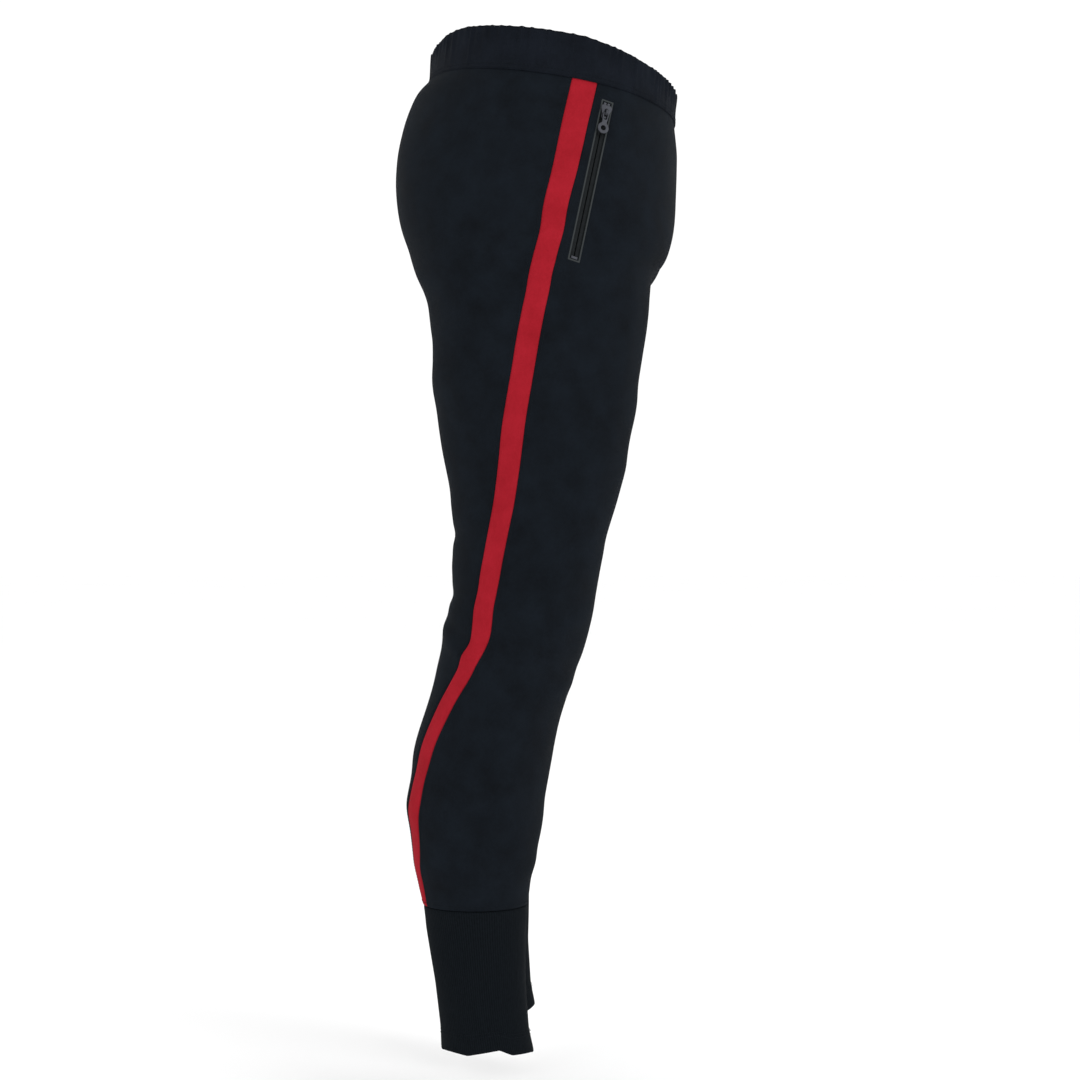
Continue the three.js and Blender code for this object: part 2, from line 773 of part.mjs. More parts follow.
// ---------------------------------------------------------------- slider and pull
const sliderFrom = 0.6 + STOP_LONG + RUN;
const sliderTo = sliderFrom + SLIDER_LONG;
const topLow = RUN;
const topHigh = topLow + PLATE;
const bottomHigh = teethLow - RUN;
const bottomLow = bottomHigh - PLATE * 0.8;
const keelHalf = WINDOW_HALF - 2 * RUN;
const postHalf = TEETH_GAP - RUN + 0.05;
const cheekIn = TEETH_OUT + RUN;
const cheekOut = cheekIn + 1.4;
const pinOut = topHigh + 0.5 + PIN_RADIUS;
const bridgeLow = pinOut + PIN_RADIUS + 0.3;
const bridgeHigh = bridgeLow + 1.1;

const shield = [
  [-SLIDER_HEAD / 2 + 2.2, sliderFrom],
  [0, sliderFrom - 0.0],
  [SLIDER_HEAD / 2 - 2.2, sliderFrom],
  [SLIDER_HEAD / 2, sliderFrom + 2.6],
  [SLIDER_TAIL / 2, sliderFrom + SLIDER_LONG * 0.72],
  [SLIDER_TAIL / 2, sliderTo],
  [-SLIDER_TAIL / 2, sliderTo],
  [-SLIDER_TAIL / 2, sliderFrom + SLIDER_LONG * 0.72],
  [-SLIDER_HEAD / 2, sliderFrom + 2.6],
];
const topPlate = block(shield, topLow, topHigh);
const keel = box(-keelHalf, keelHalf, sliderFrom, sliderTo, -CLOTH, topLow + 0.2);
const post = box(-postHalf, postHalf, sliderFrom + 0.8, sliderFrom + 6.5, bottomHigh - 0.2, -CLOTH + 0.2);
const bottomPlate = box(-cheekOut, cheekOut, sliderFrom + 0.4, sliderTo - 0.4, bottomLow, bottomHigh);
const cheek = box(cheekIn, cheekOut, sliderFrom + 0.4, sliderTo - 0.4, bottomHigh - 0.2, teethTop);
const bridgeFrom = sliderFrom + BRIDGE_FROM;
const bridgeTo = sliderFrom + BRIDGE_TO;
const halfBridge = BRIDGE_WIDE / 2;
const bridge = box(-halfBridge, halfBridge, bridgeFrom, bridgeTo, topHigh - 0.2, bridgeHigh);
const arch = box(
  -halfBridge - 1,
  halfBridge + 1,
  bridgeFrom + BRIDGE_WALL,
  bridgeTo - BRIDGE_WALL,
  topHigh,
  bridgeLow,
);
const sliderShape = cutFrom(
  joined(topPlate, keel, post, bottomPlate, cheek, mirrored(cheek), bridge),
  arch,
);
addPair('zip_slider', onZip(sliderShape), ZINC);

const pinDown = sliderFrom + PIN_AT;
const pinHalf = halfBridge + 0.4 + ARM_WIDE;
const pinTurned = block(circle(0, 0, PIN_RADIUS, 10), -pinHalf, pinHalf);
pinTurned.applyMatrix4(new THREE.Matrix4().makeRotationY(Math.PI / 2));
pinTurned.translate(0, pinDown, pinOut);
const armIn = halfBridge + 0.4;
const armOut = armIn + ARM_WIDE;
const pullLow = pinOut - PULL_THICK / 2;
const pullHigh = pinOut + PULL_THICK / 2;
const yoke = block([
  [-armOut, pinDown - 0.7],
  [armOut, pinDown - 0.7],
  [armOut, pinDown + ARM_REACH],
  [armOut - 0.4, pinDown + RING_AT - 3.5],
  [-armOut + 0.4, pinDown + RING_AT - 3.5],
  [-armOut, pinDown + ARM_REACH],
], pullLow, pullHigh);
const yokeSlot = box(-armIn, armIn, pinDown - 2, pinDown + ARM_REACH, pullLow - 1, pullHigh + 1);
const ringDisc = block(circle(0, pinDown + RING_AT, RING_OUTER, 20), pullLow, pullHigh);
const ringHole = block(circle(0, pinDown + RING_AT, RING_HOLE, 12), pullLow - 1, pullHigh + 1);
const pullShape = joined(cutFrom(joined(yoke, ringDisc), yokeSlot, ringHole), pinTurned);
addPair('zip_pull', onZip(pullShape), ZINC);

// ---------------------------------------------------------------- pocket lining
const bagTop = (BAND_HEIGHT + BAG_BELOW_BAND) / RISE;
const bagFlat = (BAND_HEIGHT + 10) / RISE;
const bagDeep = (BAND_HEIGHT + ZIP_BELOW_BAND + 2) / RISE;
const BAG_LEVELS = [bagTop, bagFlat, bagDeep, 0.37, 0.5, 0.63, 0.75, 0.85, 0.92, 0.985, BAG_BOTTOM];
const liningTop = tapeLow - LAYER_GAP;
const liningDeep = bottomLow - RUN - 0.2;
const secondTop = liningTop - MESH_CLOTH - LAYER_GAP;

function bagReach(level) {
  const low = smooth((level - 0.85) / (BAG_BOTTOM - 0.85));
  return BAG_REACH * (1 - 0.35 * low);
}

// Away from the zip the lining hangs a little clear of the trouser cloth.
const BAG_CLEAR_LOW = 3;
const BAG_CLEAR_AHEAD = 0.8;
const hangsIn = (level, share) => BAG_CLEAR_LOW * smooth((level - 0.8) / 0.2)
  + BAG_CLEAR_AHEAD * smooth(share / 0.2);

function bagSheet(columns, layer) {
  const grid = (thick) => BAG_LEVELS.map((level, row) => {
    const loop = loopAt(level);
    const zip = zipArc(loop);
    const edge = row === 0 || row === BAG_LEVELS.length - 1;
    return columns.map(([near, share]) => {
      const at = zip + near - share * (bagReach(level) - 10);
      return clothPoint(level, at, layer(near, share, edge) - hangsIn(level, share) - thick);
    });
  });
  return sheet(grid(0), grid(MESH_CLOTH));
}

const outerColumns = [[-7.6, 0], [-10, 0.05], [-10, 0.14], [-10, 0.3], [-10, 0.53], [-10, 0.76], [-10, 1]];
addPair('pocket_lining_outer', bagSheet(outerColumns, () => liningTop), LINING);

function innerLayer(near, share, edge) {
  if (near > 7) {
    return liningTop;
  }
  return edge ? secondTop : secondTop + (liningDeep - secondTop) * (1 - smooth(share / 0.9));
}
const innerColumns = [
  [10, 0], [7.6, 0], [5.8, 0], [-6, 0],
  [-10, 0.05], [-10, 0.14], [-10, 0.3], [-10, 0.53], [-10, 0.76], [-10, 1],
];
addPair('pocket_lining_inner', bagSheet(innerColumns, innerLayer), LINING);

export default group;
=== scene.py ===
# %% [markdown]
# # Hockey warm-up trousers
# A pair of slim training trousers: matt double-knit cloth, a red stripe down each side, a gathered
# elastic waist, a zipped pocket at each hip and a tapered rib panel at each ankle. The lesson takes
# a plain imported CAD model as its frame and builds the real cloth, stitches and zips around it.
# Everything here is in metres, +Z is up, the front faces -Y and the wearer's right leg is at -X.

import bpy
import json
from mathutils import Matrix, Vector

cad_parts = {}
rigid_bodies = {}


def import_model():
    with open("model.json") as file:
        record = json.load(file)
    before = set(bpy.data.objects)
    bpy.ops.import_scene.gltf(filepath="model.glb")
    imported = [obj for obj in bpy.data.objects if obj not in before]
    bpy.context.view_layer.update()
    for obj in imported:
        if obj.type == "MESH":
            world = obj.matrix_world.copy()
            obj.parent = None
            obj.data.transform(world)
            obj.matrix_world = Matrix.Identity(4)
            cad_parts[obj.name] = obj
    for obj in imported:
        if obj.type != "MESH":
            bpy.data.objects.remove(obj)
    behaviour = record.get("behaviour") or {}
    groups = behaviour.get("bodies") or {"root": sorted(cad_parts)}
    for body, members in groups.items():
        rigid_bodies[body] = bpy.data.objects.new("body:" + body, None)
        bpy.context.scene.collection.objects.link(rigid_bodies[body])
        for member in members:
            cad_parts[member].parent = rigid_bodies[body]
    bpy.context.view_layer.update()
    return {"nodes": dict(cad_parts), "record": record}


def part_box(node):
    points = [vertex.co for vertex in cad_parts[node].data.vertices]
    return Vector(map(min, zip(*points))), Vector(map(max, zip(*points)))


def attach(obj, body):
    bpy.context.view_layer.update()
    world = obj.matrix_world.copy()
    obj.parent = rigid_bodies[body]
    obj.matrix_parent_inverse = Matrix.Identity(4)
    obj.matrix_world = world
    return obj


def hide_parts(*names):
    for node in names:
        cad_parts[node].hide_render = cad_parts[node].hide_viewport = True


for leftover in list(bpy.data.objects):
    bpy.data.objects.remove(leftover)
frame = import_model()

import json
import math

import bmesh
import numpy as np
from mathutils import Vector
from mathutils.bvhtree import BVHTree

NODES = frame["nodes"]
MM = 0.001
rng = np.random.default_rng(7)

# %% [markdown]
# ## Reading the shape of the body from the frame
# A pair of trousers is easiest to describe as a stack of levels, as a tailor measures it. Each
# level here is a slanted plane that follows the waistband at the top and is flat from the crotch
# down. On every level, rays are cast from outside towards the middle of the leg, and what they hit
# first is the outer face of the cloth. Slicing with a modifier would also work, but rays give the
# points already in order round the leg, and say which panel each one belongs to.

# %% The heights that matter
SIDES = ("right", "left")


def verts(node):
    mesh = NODES[node].data
    out = np.empty(len(mesh.vertices) * 3)
    mesh.vertices.foreach_get("co", out)
    return out.reshape(-1, 3)


def smooth(t):
    t = np.clip(t, 0.0, 1.0)
    return t * t * (3 - 2 * t)


def slope_at(drop):
    return RIM_SLOPE * (1 - smooth((drop / CROTCH - 0.1) / 0.85))


def drop_of(y, z):
    drop = RIM_SLOPE * y - z
    for _ in range(30):
        drop = slope_at(drop) * y - z
    return drop


band = verts("waistband_casing")
seam = band[np.abs(band[:, 0]) < 0.001]
peak, low_rim = seam[seam[:, 2].argmax()], seam[seam[:, 1] < 0]
low_rim = low_rim[low_rim[:, 2].argmax()]
RIM_SLOPE = (peak[2] - low_rim[2]) / (peak[1] - low_rim[1])
panel = verts("right_front_panel")
CROTCH = -panel[panel[:, 0] > -0.0006][:, 2].min()
BAND_HEIGHT = max(drop_of(y, z) for _, y, z in seam)
CUFF_TOP = -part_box("right_ankle_cuff")[1].z
HEM = -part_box("right_ankle_cuff")[0].z
print("slope", round(RIM_SLOPE, 3), "band", round(BAND_HEIGHT, 4), "crotch", round(CROTCH, 4),
      "cuff", round(CUFF_TOP, 4), "hem", round(HEM, 4))


# %% Rays onto the right half
def tree_of(names):
    points, faces, owner = [], [], []
    for name in names:
        mesh = NODES[name].data
        start = len(points)
        points += [v.co.copy() for v in mesh.vertices]
        for polygon in mesh.polygons:
            faces.append([start + i for i in polygon.vertices])
            owner.append(name)
    return BVHTree.FromPolygons(points, faces), owner


RIGHT_CLOTH = ("right_front_panel", "right_side_stripe", "right_back_panel")
cloth_tree, cloth_owner = tree_of(RIGHT_CLOTH)


def probe(drop, centre, turn, tree=cloth_tree, owner=cloth_owner):
    """Outer face at a level, looking in at a turn: 0 is the outer side, -90 degrees the front."""
    slope = slope_at(drop)
    way = Vector((-math.cos(turn), math.sin(turn), slope * math.sin(turn)))
    middle = Vector((centre[0], centre[1], -drop + slope * centre[1]))
    far = 0.5 / way.length
    hit = tree.ray_cast(middle + way * far, -way, far * way.length)
    return None if hit[0] is None else (hit[0], owner[hit[2]])


def middle_of(drop, guess):
    """The middle of the leg at a level, from the width and depth seen from a first guess."""
    x, y = guess
    for _ in range(3):
        front, back = probe(drop, (x, y), -math.pi / 2), probe(drop, (x, y), math.pi / 2)
        if front and back:
            y = (front[0].y + back[0].y) / 2
        outer, inner = probe(drop, (x, y), 0), probe(drop, (x, y), math.pi)
        if outer and inner:
            x = (outer[0].x + inner[0].x) / 2
    return x, y


# %% Read one level all the way round
def first_miss(drop, centre, start, stop):
    """Turn at which the cloth ends between a turn that hits it and one that misses."""
    for _ in range(14):
        mid = (start + stop) / 2
        start, stop = (mid, stop) if probe(drop, centre, mid) else (start, mid)
    return start


def change_of(drop, centre, low, high, is_low):
    """Turn at which one panel hands over to the next."""
    for _ in range(14):
        mid = (low + high) / 2
        hit = probe(drop, centre, mid)
        low, high = (mid, high) if hit and is_low(hit[1]) else (low, mid)
    return low


def read_level(drop, guess):
    """Ordered points from the front seam to the back seam, with the stripe's two edges."""
    is_open = drop < CROTCH - 0.0004
    if is_open:
        outer = probe(drop, guess, 0)[0]
        centre = (outer.x * 0.5, guess[1])
        front, back = probe(drop, centre, -math.pi / 2), probe(drop, centre, math.pi / 2)
        centre = (centre[0], (front[0].y + back[0].y) / 2)
        first = first_miss(drop, centre, -math.pi / 2, -math.pi)
        last = first_miss(drop, centre, math.pi / 2, math.pi)
    else:
        centre = middle_of(drop, guess)
        last = change_of(drop, centre, math.radians(120), math.radians(240), lambda n: "back" in n)
        first = last - 2 * math.pi + 0.004
    turns = list(np.linspace(first, last, 170))
    seen = [(t, probe(drop, centre, t)) for t in turns]
    seen = [(t, hit) for t, hit in seen if hit]
    ahead = max(t for t, hit in seen if "front" in hit[1] and t < 2.6)
    behind = min(t for t, hit in seen if "back" in hit[1] and t > -0.5)
    edge_a = change_of(drop, centre, ahead, (ahead + behind) / 2, lambda n: "front" in n)
    edge_b = change_of(drop, centre, (ahead + behind) / 2, behind, lambda n: "stripe" in n)
    seen += [(t, probe(drop, centre, t)) for t in (edge_a, edge_b)]
    seen = sorted((t, hit) for t, hit in seen if hit)
    points = np.array([hit[0][:] for _, hit in seen])
    turns = np.array([t for t, _ in seen])
    arc = np.concatenate([[0], np.cumsum(np.linalg.norm(np.diff(points, axis=0), axis=1))])
    a, b = np.interp([edge_a, edge_b], turns, arc)
    return {"drop": drop, "open": is_open, "centre": centre, "points": points, "arc": arc,
            "turns": turns, "a": a, "b": b, "long": arc[-1]}


TUCK = BAND_HEIGHT - 0.0052
near_crotch = lambda d: math.exp(-(((d - CROTCH) / 0.03) ** 2))
drops = [TUCK]
while drops[-1] < CUFF_TOP - 0.0075:
    drops.append(drops[-1] + 0.0058 - 0.0034 * near_crotch(drops[-1]))
drops += [CUFF_TOP - 0.0017, CUFF_TOP - 0.0004]
levels, guess = [], (-0.09, 0.02)
for drop in drops:
    level = read_level(drop, guess)
    guess = level["centre"]
    levels.append(level)
DROPS = np.array(drops)
print(len(levels), "levels, girth of the half at the hip", round(levels[20]["long"], 3),
      "and of the calf", round(levels[-20]["long"], 3))

# %% [markdown]
# ## Where the zip lies
# The zip has its own straight directions: down its length, back across it and out of the cloth.
# They come from the two joints of the slider and its pull, and the slot is measured from the edge
# of the opening in the front panel. The left zip is the right one seen in a mirror.

# %% The zip's own directions
joint = {j["name"]: j for j in frame["record"]["behaviour"]["joints"]}
DOWN = Vector(joint["right_zip_slide"]["axis"]).normalized()
BACK = Vector(joint["right_pull_hinge"]["axis"]).normalized()
OUT = BACK.cross(DOWN).normalized()
PIN = Vector(joint["right_pull_hinge"]["pos_m"])
if OUT.x > 0:
    OUT.negate()
axes = np.array([BACK[:], DOWN[:], OUT[:]])
near = (verts("right_front_panel") - np.array(PIN)) @ axes.T
slot = near[(np.abs(near[:, 0]) < 0.006) & (np.abs(near[:, 2]) < 0.006)]
slot = slot[(slot[:, 1] > -0.03) & (slot[:, 1] < 0.16)]
ZIP_TOP = PIN + DOWN * float(slot[:, 1].min()) + OUT * float(slot[:, 2].max())
ZIP_LONG = float(np.ptp(slot[:, 1]))
SLOT_HALF = float(np.abs(slot[:, 0]).max())
print("zip slot", round(ZIP_LONG, 4), "long and", round(2 * SLOT_HALF, 4), "wide")


def on_zip(w, s, n):
    """A point given across, down and out of the zip."""
    return ZIP_TOP + BACK * w + DOWN * s + OUT * n


def in_zip(points):
    return (points - np.array(ZIP_TOP)) @ axes.T


# %% [markdown]
# ## One smooth skin for the right half
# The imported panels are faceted, so each level is resampled by its length round the leg and
# smoothed with a bell curve, mirrored across the middle of the body above the crotch and wrapped
# round the leg below it. A shared skin keeps the three panels meeting exactly at their seams. The
# columns follow the seams, and two of them follow the sides of the zip slot.

# %% Columns round the leg
SEAM_ROLL = 0.0013
STRIPE_COLUMNS, BACK_COLUMNS, AHEAD_COLUMNS = 5, 52, 44


def zip_ahead(level):
    """Distance from the stripe's front edge forward to the middle of the zip, on this level."""
    local = in_zip(level["points"])
    part = (level["turns"] > -1.6) & (level["turns"] < 0.6)
    order = np.argsort(local[part, 0])
    return level["a"] - np.interp(0.0, local[part, 0][order], level["arc"][part][order])


def spaced(start, stop, count):
    """Even steps, with one extra column close to each end for the rolled seam."""
    sign = 1 if stop > start else -1
    inner = np.linspace(start, stop, count + 1)[1:-1]
    return np.concatenate([[start, start + sign * SEAM_ROLL], inner, [stop - sign * SEAM_ROLL, stop]])


shown = [level for level in levels
         if 0 < in_zip(level["points"])[len(level["points"]) // 2 - 20][1] < ZIP_LONG]
first_ahead, last_ahead = zip_ahead(shown[0]), zip_ahead(shown[-1])
for level in levels:
    if level["drop"] < shown[0]["drop"]:
        level["ahead"] = first_ahead
    elif level["drop"] > shown[-1]["drop"]:
        level["ahead"] = last_ahead
    else:
        level["ahead"] = zip_ahead(level)
print("the zip runs", round(first_ahead * 1000, 1), "to", round(last_ahead * 1000, 1), "mm ahead")


def columns_of(level):
    a, b, z = level["a"], level["b"], level["ahead"]
    far = a - z - SLOT_HALF
    front = np.concatenate([
        spaced(0.0, far - 0.0014, AHEAD_COLUMNS)[:-2], [far - 0.0014, far, far + SLOT_HALF,
        far + 2 * SLOT_HALF, far + 2 * SLOT_HALF + 0.0014],
        np.linspace(far + 2 * SLOT_HALF + 0.0014, a - SEAM_ROLL, 5)[1:], [a]])
    return front, spaced(a, b, STRIPE_COLUMNS), spaced(b, level["long"], BACK_COLUMNS)


# %% Smooth each level, then down the leg
def smoothed(level, wanted, spread=0.0075, step=0.002):
    arc, points, long = level["arc"], level["points"], level["long"]
    if level["open"]:
        flip = np.array([-1.0, 1.0, 1.0])
        arc = np.concatenate([-arc[:0:-1], arc, 2 * long - arc[-2::-1]])
        points = np.concatenate([points[:0:-1] * flip, points, points[-2::-1] * flip])
    else:
        arc = np.concatenate([arc[:-1] - long, arc, arc[1:] + long])
        points = np.concatenate([points[:-1], points, points[1:]])
    even = np.arange(-0.04, long + 0.04, step)
    kernel = np.exp(-0.5 * (np.arange(-12, 13) * step / spread) ** 2)
    kernel /= kernel.sum()
    out = []
    for k in range(3):
        line = np.interp(even, arc, points[:, k])
        padded = np.pad(line, 12, mode="edge")
        out.append(np.interp(wanted, even, np.convolve(padded, kernel, mode="valid")))
    return np.stack(out, axis=1)


def eased_down(grid, spread=0.008):
    """Straight-line fit in a bell-shaped window down every column."""
    gap = DROPS[:, None] - DROPS[None, :]
    width = np.gradient(DROPS)
    weight = np.exp(-0.5 * (gap / spread) ** 2) * width[None, :]
    s0, s1, s2 = weight.sum(1), (weight * -gap).sum(1), (weight * gap ** 2).sum(1)
    t0 = np.einsum("ij,jkc->ikc", weight, grid)
    t1 = np.einsum("ij,jkc->ikc", weight * -gap, grid)
    share = (s0 * s2 - s1 ** 2)[:, None, None]
    return (t0 * s2[:, None, None] - t1 * s1[:, None, None]) / share


parts = [columns_of(level) for level in levels]
FRONT_WIDE, STRIPE_WIDE, BACK_WIDE = (len(p) for p in parts[0])
rows = [smoothed(level, np.concatenate(part)) for level, part in zip(levels, parts)]
skin = eased_down(np.array(rows))
above = DROPS < CROTCH
skin[above, 0, 0] = skin[above, -1, 0] = -0.0001
arcs = np.array([np.concatenate(part) for part in parts])
middle_arc = np.array([(level["a"] + level["b"]) / 2 for level in levels])
print("skin", skin.shape, "columns:", FRONT_WIDE, STRIPE_WIDE, BACK_WIDE)


# %% [markdown]
# ## Folds in the cloth
# Double knit is springy, so it shows few folds, and long soft ones: across the back of the knee,
# a tuck just below it that nudges the stripe, drag lines from the crotch, and a little slack above
# the ankle. Cloth simulation could make them, but the folds have to stay where this garment has
# them, so each is a rounded ridge with a hollow beside it, placed by its height and by how far
# round the leg it lies. A ripple read from the point in space keeps both sides of a seam together.

# %% Ridges and hollows
# turn round the leg (0 outer side, 90 back), drop, length round the leg in degrees, how far it
# falls along its length, half width, height; heights in metres, a minus sign is a hollow
FOLDS = [
    (96, 0.465, 44, 0.014, 0.0060, -0.0022), (88, 0.492, 52, -0.010, 0.0110, 0.0014),
    (92, 0.522, 44, 0.012, 0.0055, -0.0026), (70, 0.440, 30, -0.014, 0.0110, 0.0012),
    (58, 0.556, 30, -0.030, 0.0075, -0.0030), (46, 0.572, 30, -0.034, 0.0070, 0.0030),
    (78, 0.548, 30, 0.016, 0.0110, 0.0026), (-20, 0.604, 36, 0.020, 0.0120, -0.0018),
    (-52, 0.545, 26, 0.018, 0.0100, 0.0022), (-66, 0.585, 22, -0.006, 0.0060, -0.0018),
    (-70, 0.607, 20, 0.005, 0.0055, 0.0016), (-34, 0.430, 40, 0.030, 0.0260, -0.0050),
    (-62, 0.480, 34, -0.012, 0.0200, 0.0032), (-30, 0.655, 60, 0.010, 0.0480, 0.0026),
    (112, 0.330, 60, 0.050, 0.0200, 0.0032), (128, 0.296, 44, 0.034, 0.0130, -0.0032),
    (-128, 0.300, 44, 0.040, 0.0140, -0.0030), (-118, 0.334, 52, 0.046, 0.0180, 0.0026),
    (60, 0.262, 40, 0.030, 0.0200, -0.0020), (-60, 0.286, 44, -0.024, 0.0220, -0.0018),
    (20, 0.372, 60, 0.030, 0.0260, 0.0016), (-10, 0.760, 46, 0.012, 0.0130, -0.0016),
    (30, 0.782, 50, -0.010, 0.0095, 0.0018), (140, 0.742, 44, 0.014, 0.0120, 0.0018),
    (-120, 0.720, 44, -0.012, 0.0140, -0.0018), (-80, 0.775, 30, 0.010, 0.0090, 0.0016),
    (84, 0.690, 40, 0.016, 0.0130, -0.0018), (78, 0.722, 34, -0.014, 0.0110, 0.0014),
    (70, 0.130, 40, 0.010, 0.0300, 0.0012), (104, 0.215, 40, 0.014, 0.0140, -0.0022),
]


def fold_height(turn, drop, scale=1.0, shift=0.0):
    """How far the cloth stands proud of the smooth skin at a turn, in degrees, and a drop."""
    total = np.zeros_like(turn)
    for at, level, long, fall, wide, height in FOLDS:
        away = (turn - at - shift + 180) % 360 - 180
        across = (drop - level - fall * away / max(long, 1) * 0.5) / wide
        along = np.exp(-((away / long) ** 2) * 1.2)
        total += height * scale * along * (np.exp(-across ** 2) - 0.3 * np.exp(-(across - 2.1) ** 2))
    return total


def ripple(points, seed):
    """A slow unevenness of the whole cloth, from waves through space."""
    waves = np.random.default_rng(seed)
    total = np.zeros(points.shape[:-1])
    for _ in range(14):
        way = waves.normal(size=3) * np.array([1.0, 1.0, 0.75])
        size = waves.uniform(0.045, 0.15)
        way *= 2 * math.pi / size / np.linalg.norm(way)
        total += size * np.sin(points @ way + waves.uniform(0, 6.28))
    return total * 0.0021


def normals_of(grid, wraps=False):
    down = np.gradient(grid, axis=0)
    if wraps:
        wide = np.concatenate([grid[:, -2:-1], grid, grid[:, 1:2]], axis=1)
        round_ = np.gradient(wide, axis=1)[:, 1:-1]
    else:
        round_ = np.gradient(grid, axis=1)
    n = np.cross(round_, down)
    return n / np.maximum(np.linalg.norm(n, axis=2, keepdims=True), 1e-9)


# %% [markdown]
# ## Slack, and the run of the stripe
# Worn trousers are never as tight as their pattern: the seat stands out, the cloth hangs off the
# front of the thigh, and the sewn stripe wanders as it is pulled at the knee. Sculpting by hand would
# do it too, but a short table of a few millimetres at each height can be read, changed and run again.
# Round the zip the cloth is then laid flat, so the slider still runs in its slot.

# %% Slack and drift
# how far the sewn stripe wanders back (+) or forward (-) of the frame's plain one: drop, shift
STRIPE_DRIFT = [
    (0.035, 0.0032), (0.130, 0.0048), (0.158, 0.0064), (0.172, 0.0060), (0.2145, -0.0012),
    (0.240, -0.0040), (0.284, -0.0030), (0.390, -0.0018), (0.480, 0.0002), (0.534, 0.0016),
    (0.560, -0.0050), (0.590, -0.0016), (0.618, 0.0038), (0.690, 0.0042), (0.760, 0.0005), (0.815, 0.0),
]
# how much fuller the worn cloth is than the frame's plain panels: drop, fullness, in metres
SEAT_EASE = [
    (0.038, 0.0), (0.053, 0.0074), (0.104, 0.0074), (0.155, 0.0032), (0.192, 0.0008), (0.214, 0.0056),
    (0.245, 0.0012), (0.274, 0.0028), (0.303, -0.0004), (0.360, 0.0018), (0.420, 0.0), (0.552, 0.0014),
    (0.611, 0.0002), (0.689, 0.0028), (0.815, 0.0004),
]
FRONT_EASE = [
    (0.038, 0.0), (0.070, 0.0040), (0.180, 0.0052), (0.198, 0.0066), (0.214, 0.0020), (0.231, 0.0040),
    (0.300, 0.0032), (0.345, 0.0012), (0.400, 0.0058), (0.470, 0.0006), (0.508, 0.0030), (0.581, 0.0048),
    (0.640, 0.0022), (0.726, 0.0046), (0.815, 0.0006),
]


def read_off(table, drop, blur=0.004):
    """A table's value at each drop, with its corners rounded over a few millimetres."""
    table = np.array(table)
    return np.mean([np.interp(drop + step, table[:, 0], table[:, 1]) for step in (-blur, 0, blur)], axis=0)


centres = np.array([level["centre"] for level in levels])
for k in range(2):
    centres[:, k] = np.convolve(np.pad(centres[:, k], 6, mode="edge"), np.ones(13) / 13, "valid")


def turns_about(grid):
    return np.degrees(np.arctan2(grid[..., 1] - centres[:, None, 1], -(grid[..., 0] - centres[:, None, 0])))


SEAT_SPREAD, FRONT_SPREAD = 52, 46      # degrees round the leg that the slack reaches
body = smooth((CROTCH + 0.02 - DROPS) / 0.04)[:, None]
seen_turn = turns_about(skin)
back_turn = seen_turn - body * np.maximum(seen_turn - 90, 0)
front_turn = seen_turn + body * np.maximum(-90 - seen_turn, 0)
ease = (read_off(SEAT_EASE, DROPS)[:, None] * np.exp(-((back_turn - 90) / SEAT_SPREAD) ** 2)
        + read_off(FRONT_EASE, DROPS)[:, None] * np.exp(-((front_turn + 90) / FRONT_SPREAD) ** 2))
print("slack from", round(ease.min() * 1000, 1), "to", round(ease.max() * 1000, 1), "mm")
skin = skin + normals_of(skin) * ease[..., None]
skin[above, 0, 0] = skin[above, -1, 0] = -0.0001

drift = read_off(STRIPE_DRIFT, DROPS)
STRIPE_EASE = 0.0011      # the stripe's cut edges are turned under less than the frame shows
for level, shift in zip(levels, drift):
    level["a"] += shift - STRIPE_EASE
    level["ahead"] += shift - STRIPE_EASE
    level["b"] += shift + STRIPE_EASE
sewn_arcs = np.array([np.concatenate(columns_of(level)) for level in levels])
skin = np.array([[np.interp(sewn_arcs[i], arcs[i], skin[i, :, k]) for k in range(3)]
                 for i in range(len(levels))]).transpose(0, 2, 1)
arcs = sewn_arcs
middle_arc = np.array([(level["a"] + level["b"]) / 2 for level in levels])

local = in_zip(skin)
past = np.maximum(np.maximum(-local[..., 1], local[..., 1] - ZIP_LONG), 0)
from_zip = np.hypot(local[..., 0], past)
from_zip[skin[..., 0] > -0.08] = 1.0
flat = 1 - smooth((from_zip - 0.012) / 0.012)
under_band = smooth((DROPS[:, None] - BAND_HEIGHT - 0.001) / 0.009)
skin -= (local[..., 2] * flat * under_band)[..., None] * axes[2]

turns = turns_about(skin)
skin_normals = normals_of(skin)
calm = smooth((from_zip - 0.020) / 0.045) * smooth((DROPS[:, None] - BAND_HEIGHT - 0.004) / 0.05)
calm = calm * (1 - smooth((DROPS[:, None] - CUFF_TOP + 0.03) / 0.028))
middle_fade = np.where(DROPS[:, None] < CROTCH + 0.012, smooth(-skin[..., 0] / 0.03), 1.0)


def dressed(side):
    """The right-half skin with its folds; the other leg's lie a little differently."""
    own = side == "right"
    raised = fold_height(turns, DROPS[:, None] + np.zeros_like(turns), 1.0 if own else 0.8,
                         0.0 if own else 9.0)
    raised = raised + ripple(skin, 3 if own else 8)
    return skin + skin_normals * (raised * calm * middle_fade)[..., None]


print("deepest hollow and highest ridge", np.round([
    (fold_height(turns, DROPS[:, None] + 0 * turns) * calm).min() * 1000,
    (fold_height(turns, DROPS[:, None] + 0 * turns) * calm).max() * 1000], 1), "mm")

# %% [markdown]
# ## Making a piece
# Every piece is a mesh written point by point. A sheet starts as one layer and gets its real
# thickness inwards, so its outer face stays where the frame has it, and one round of subdivision
# rounds the cut edges. Each sheet keeps a map in real metres, along and across the knitting.

# %% Build, thicken, round off
made = {}


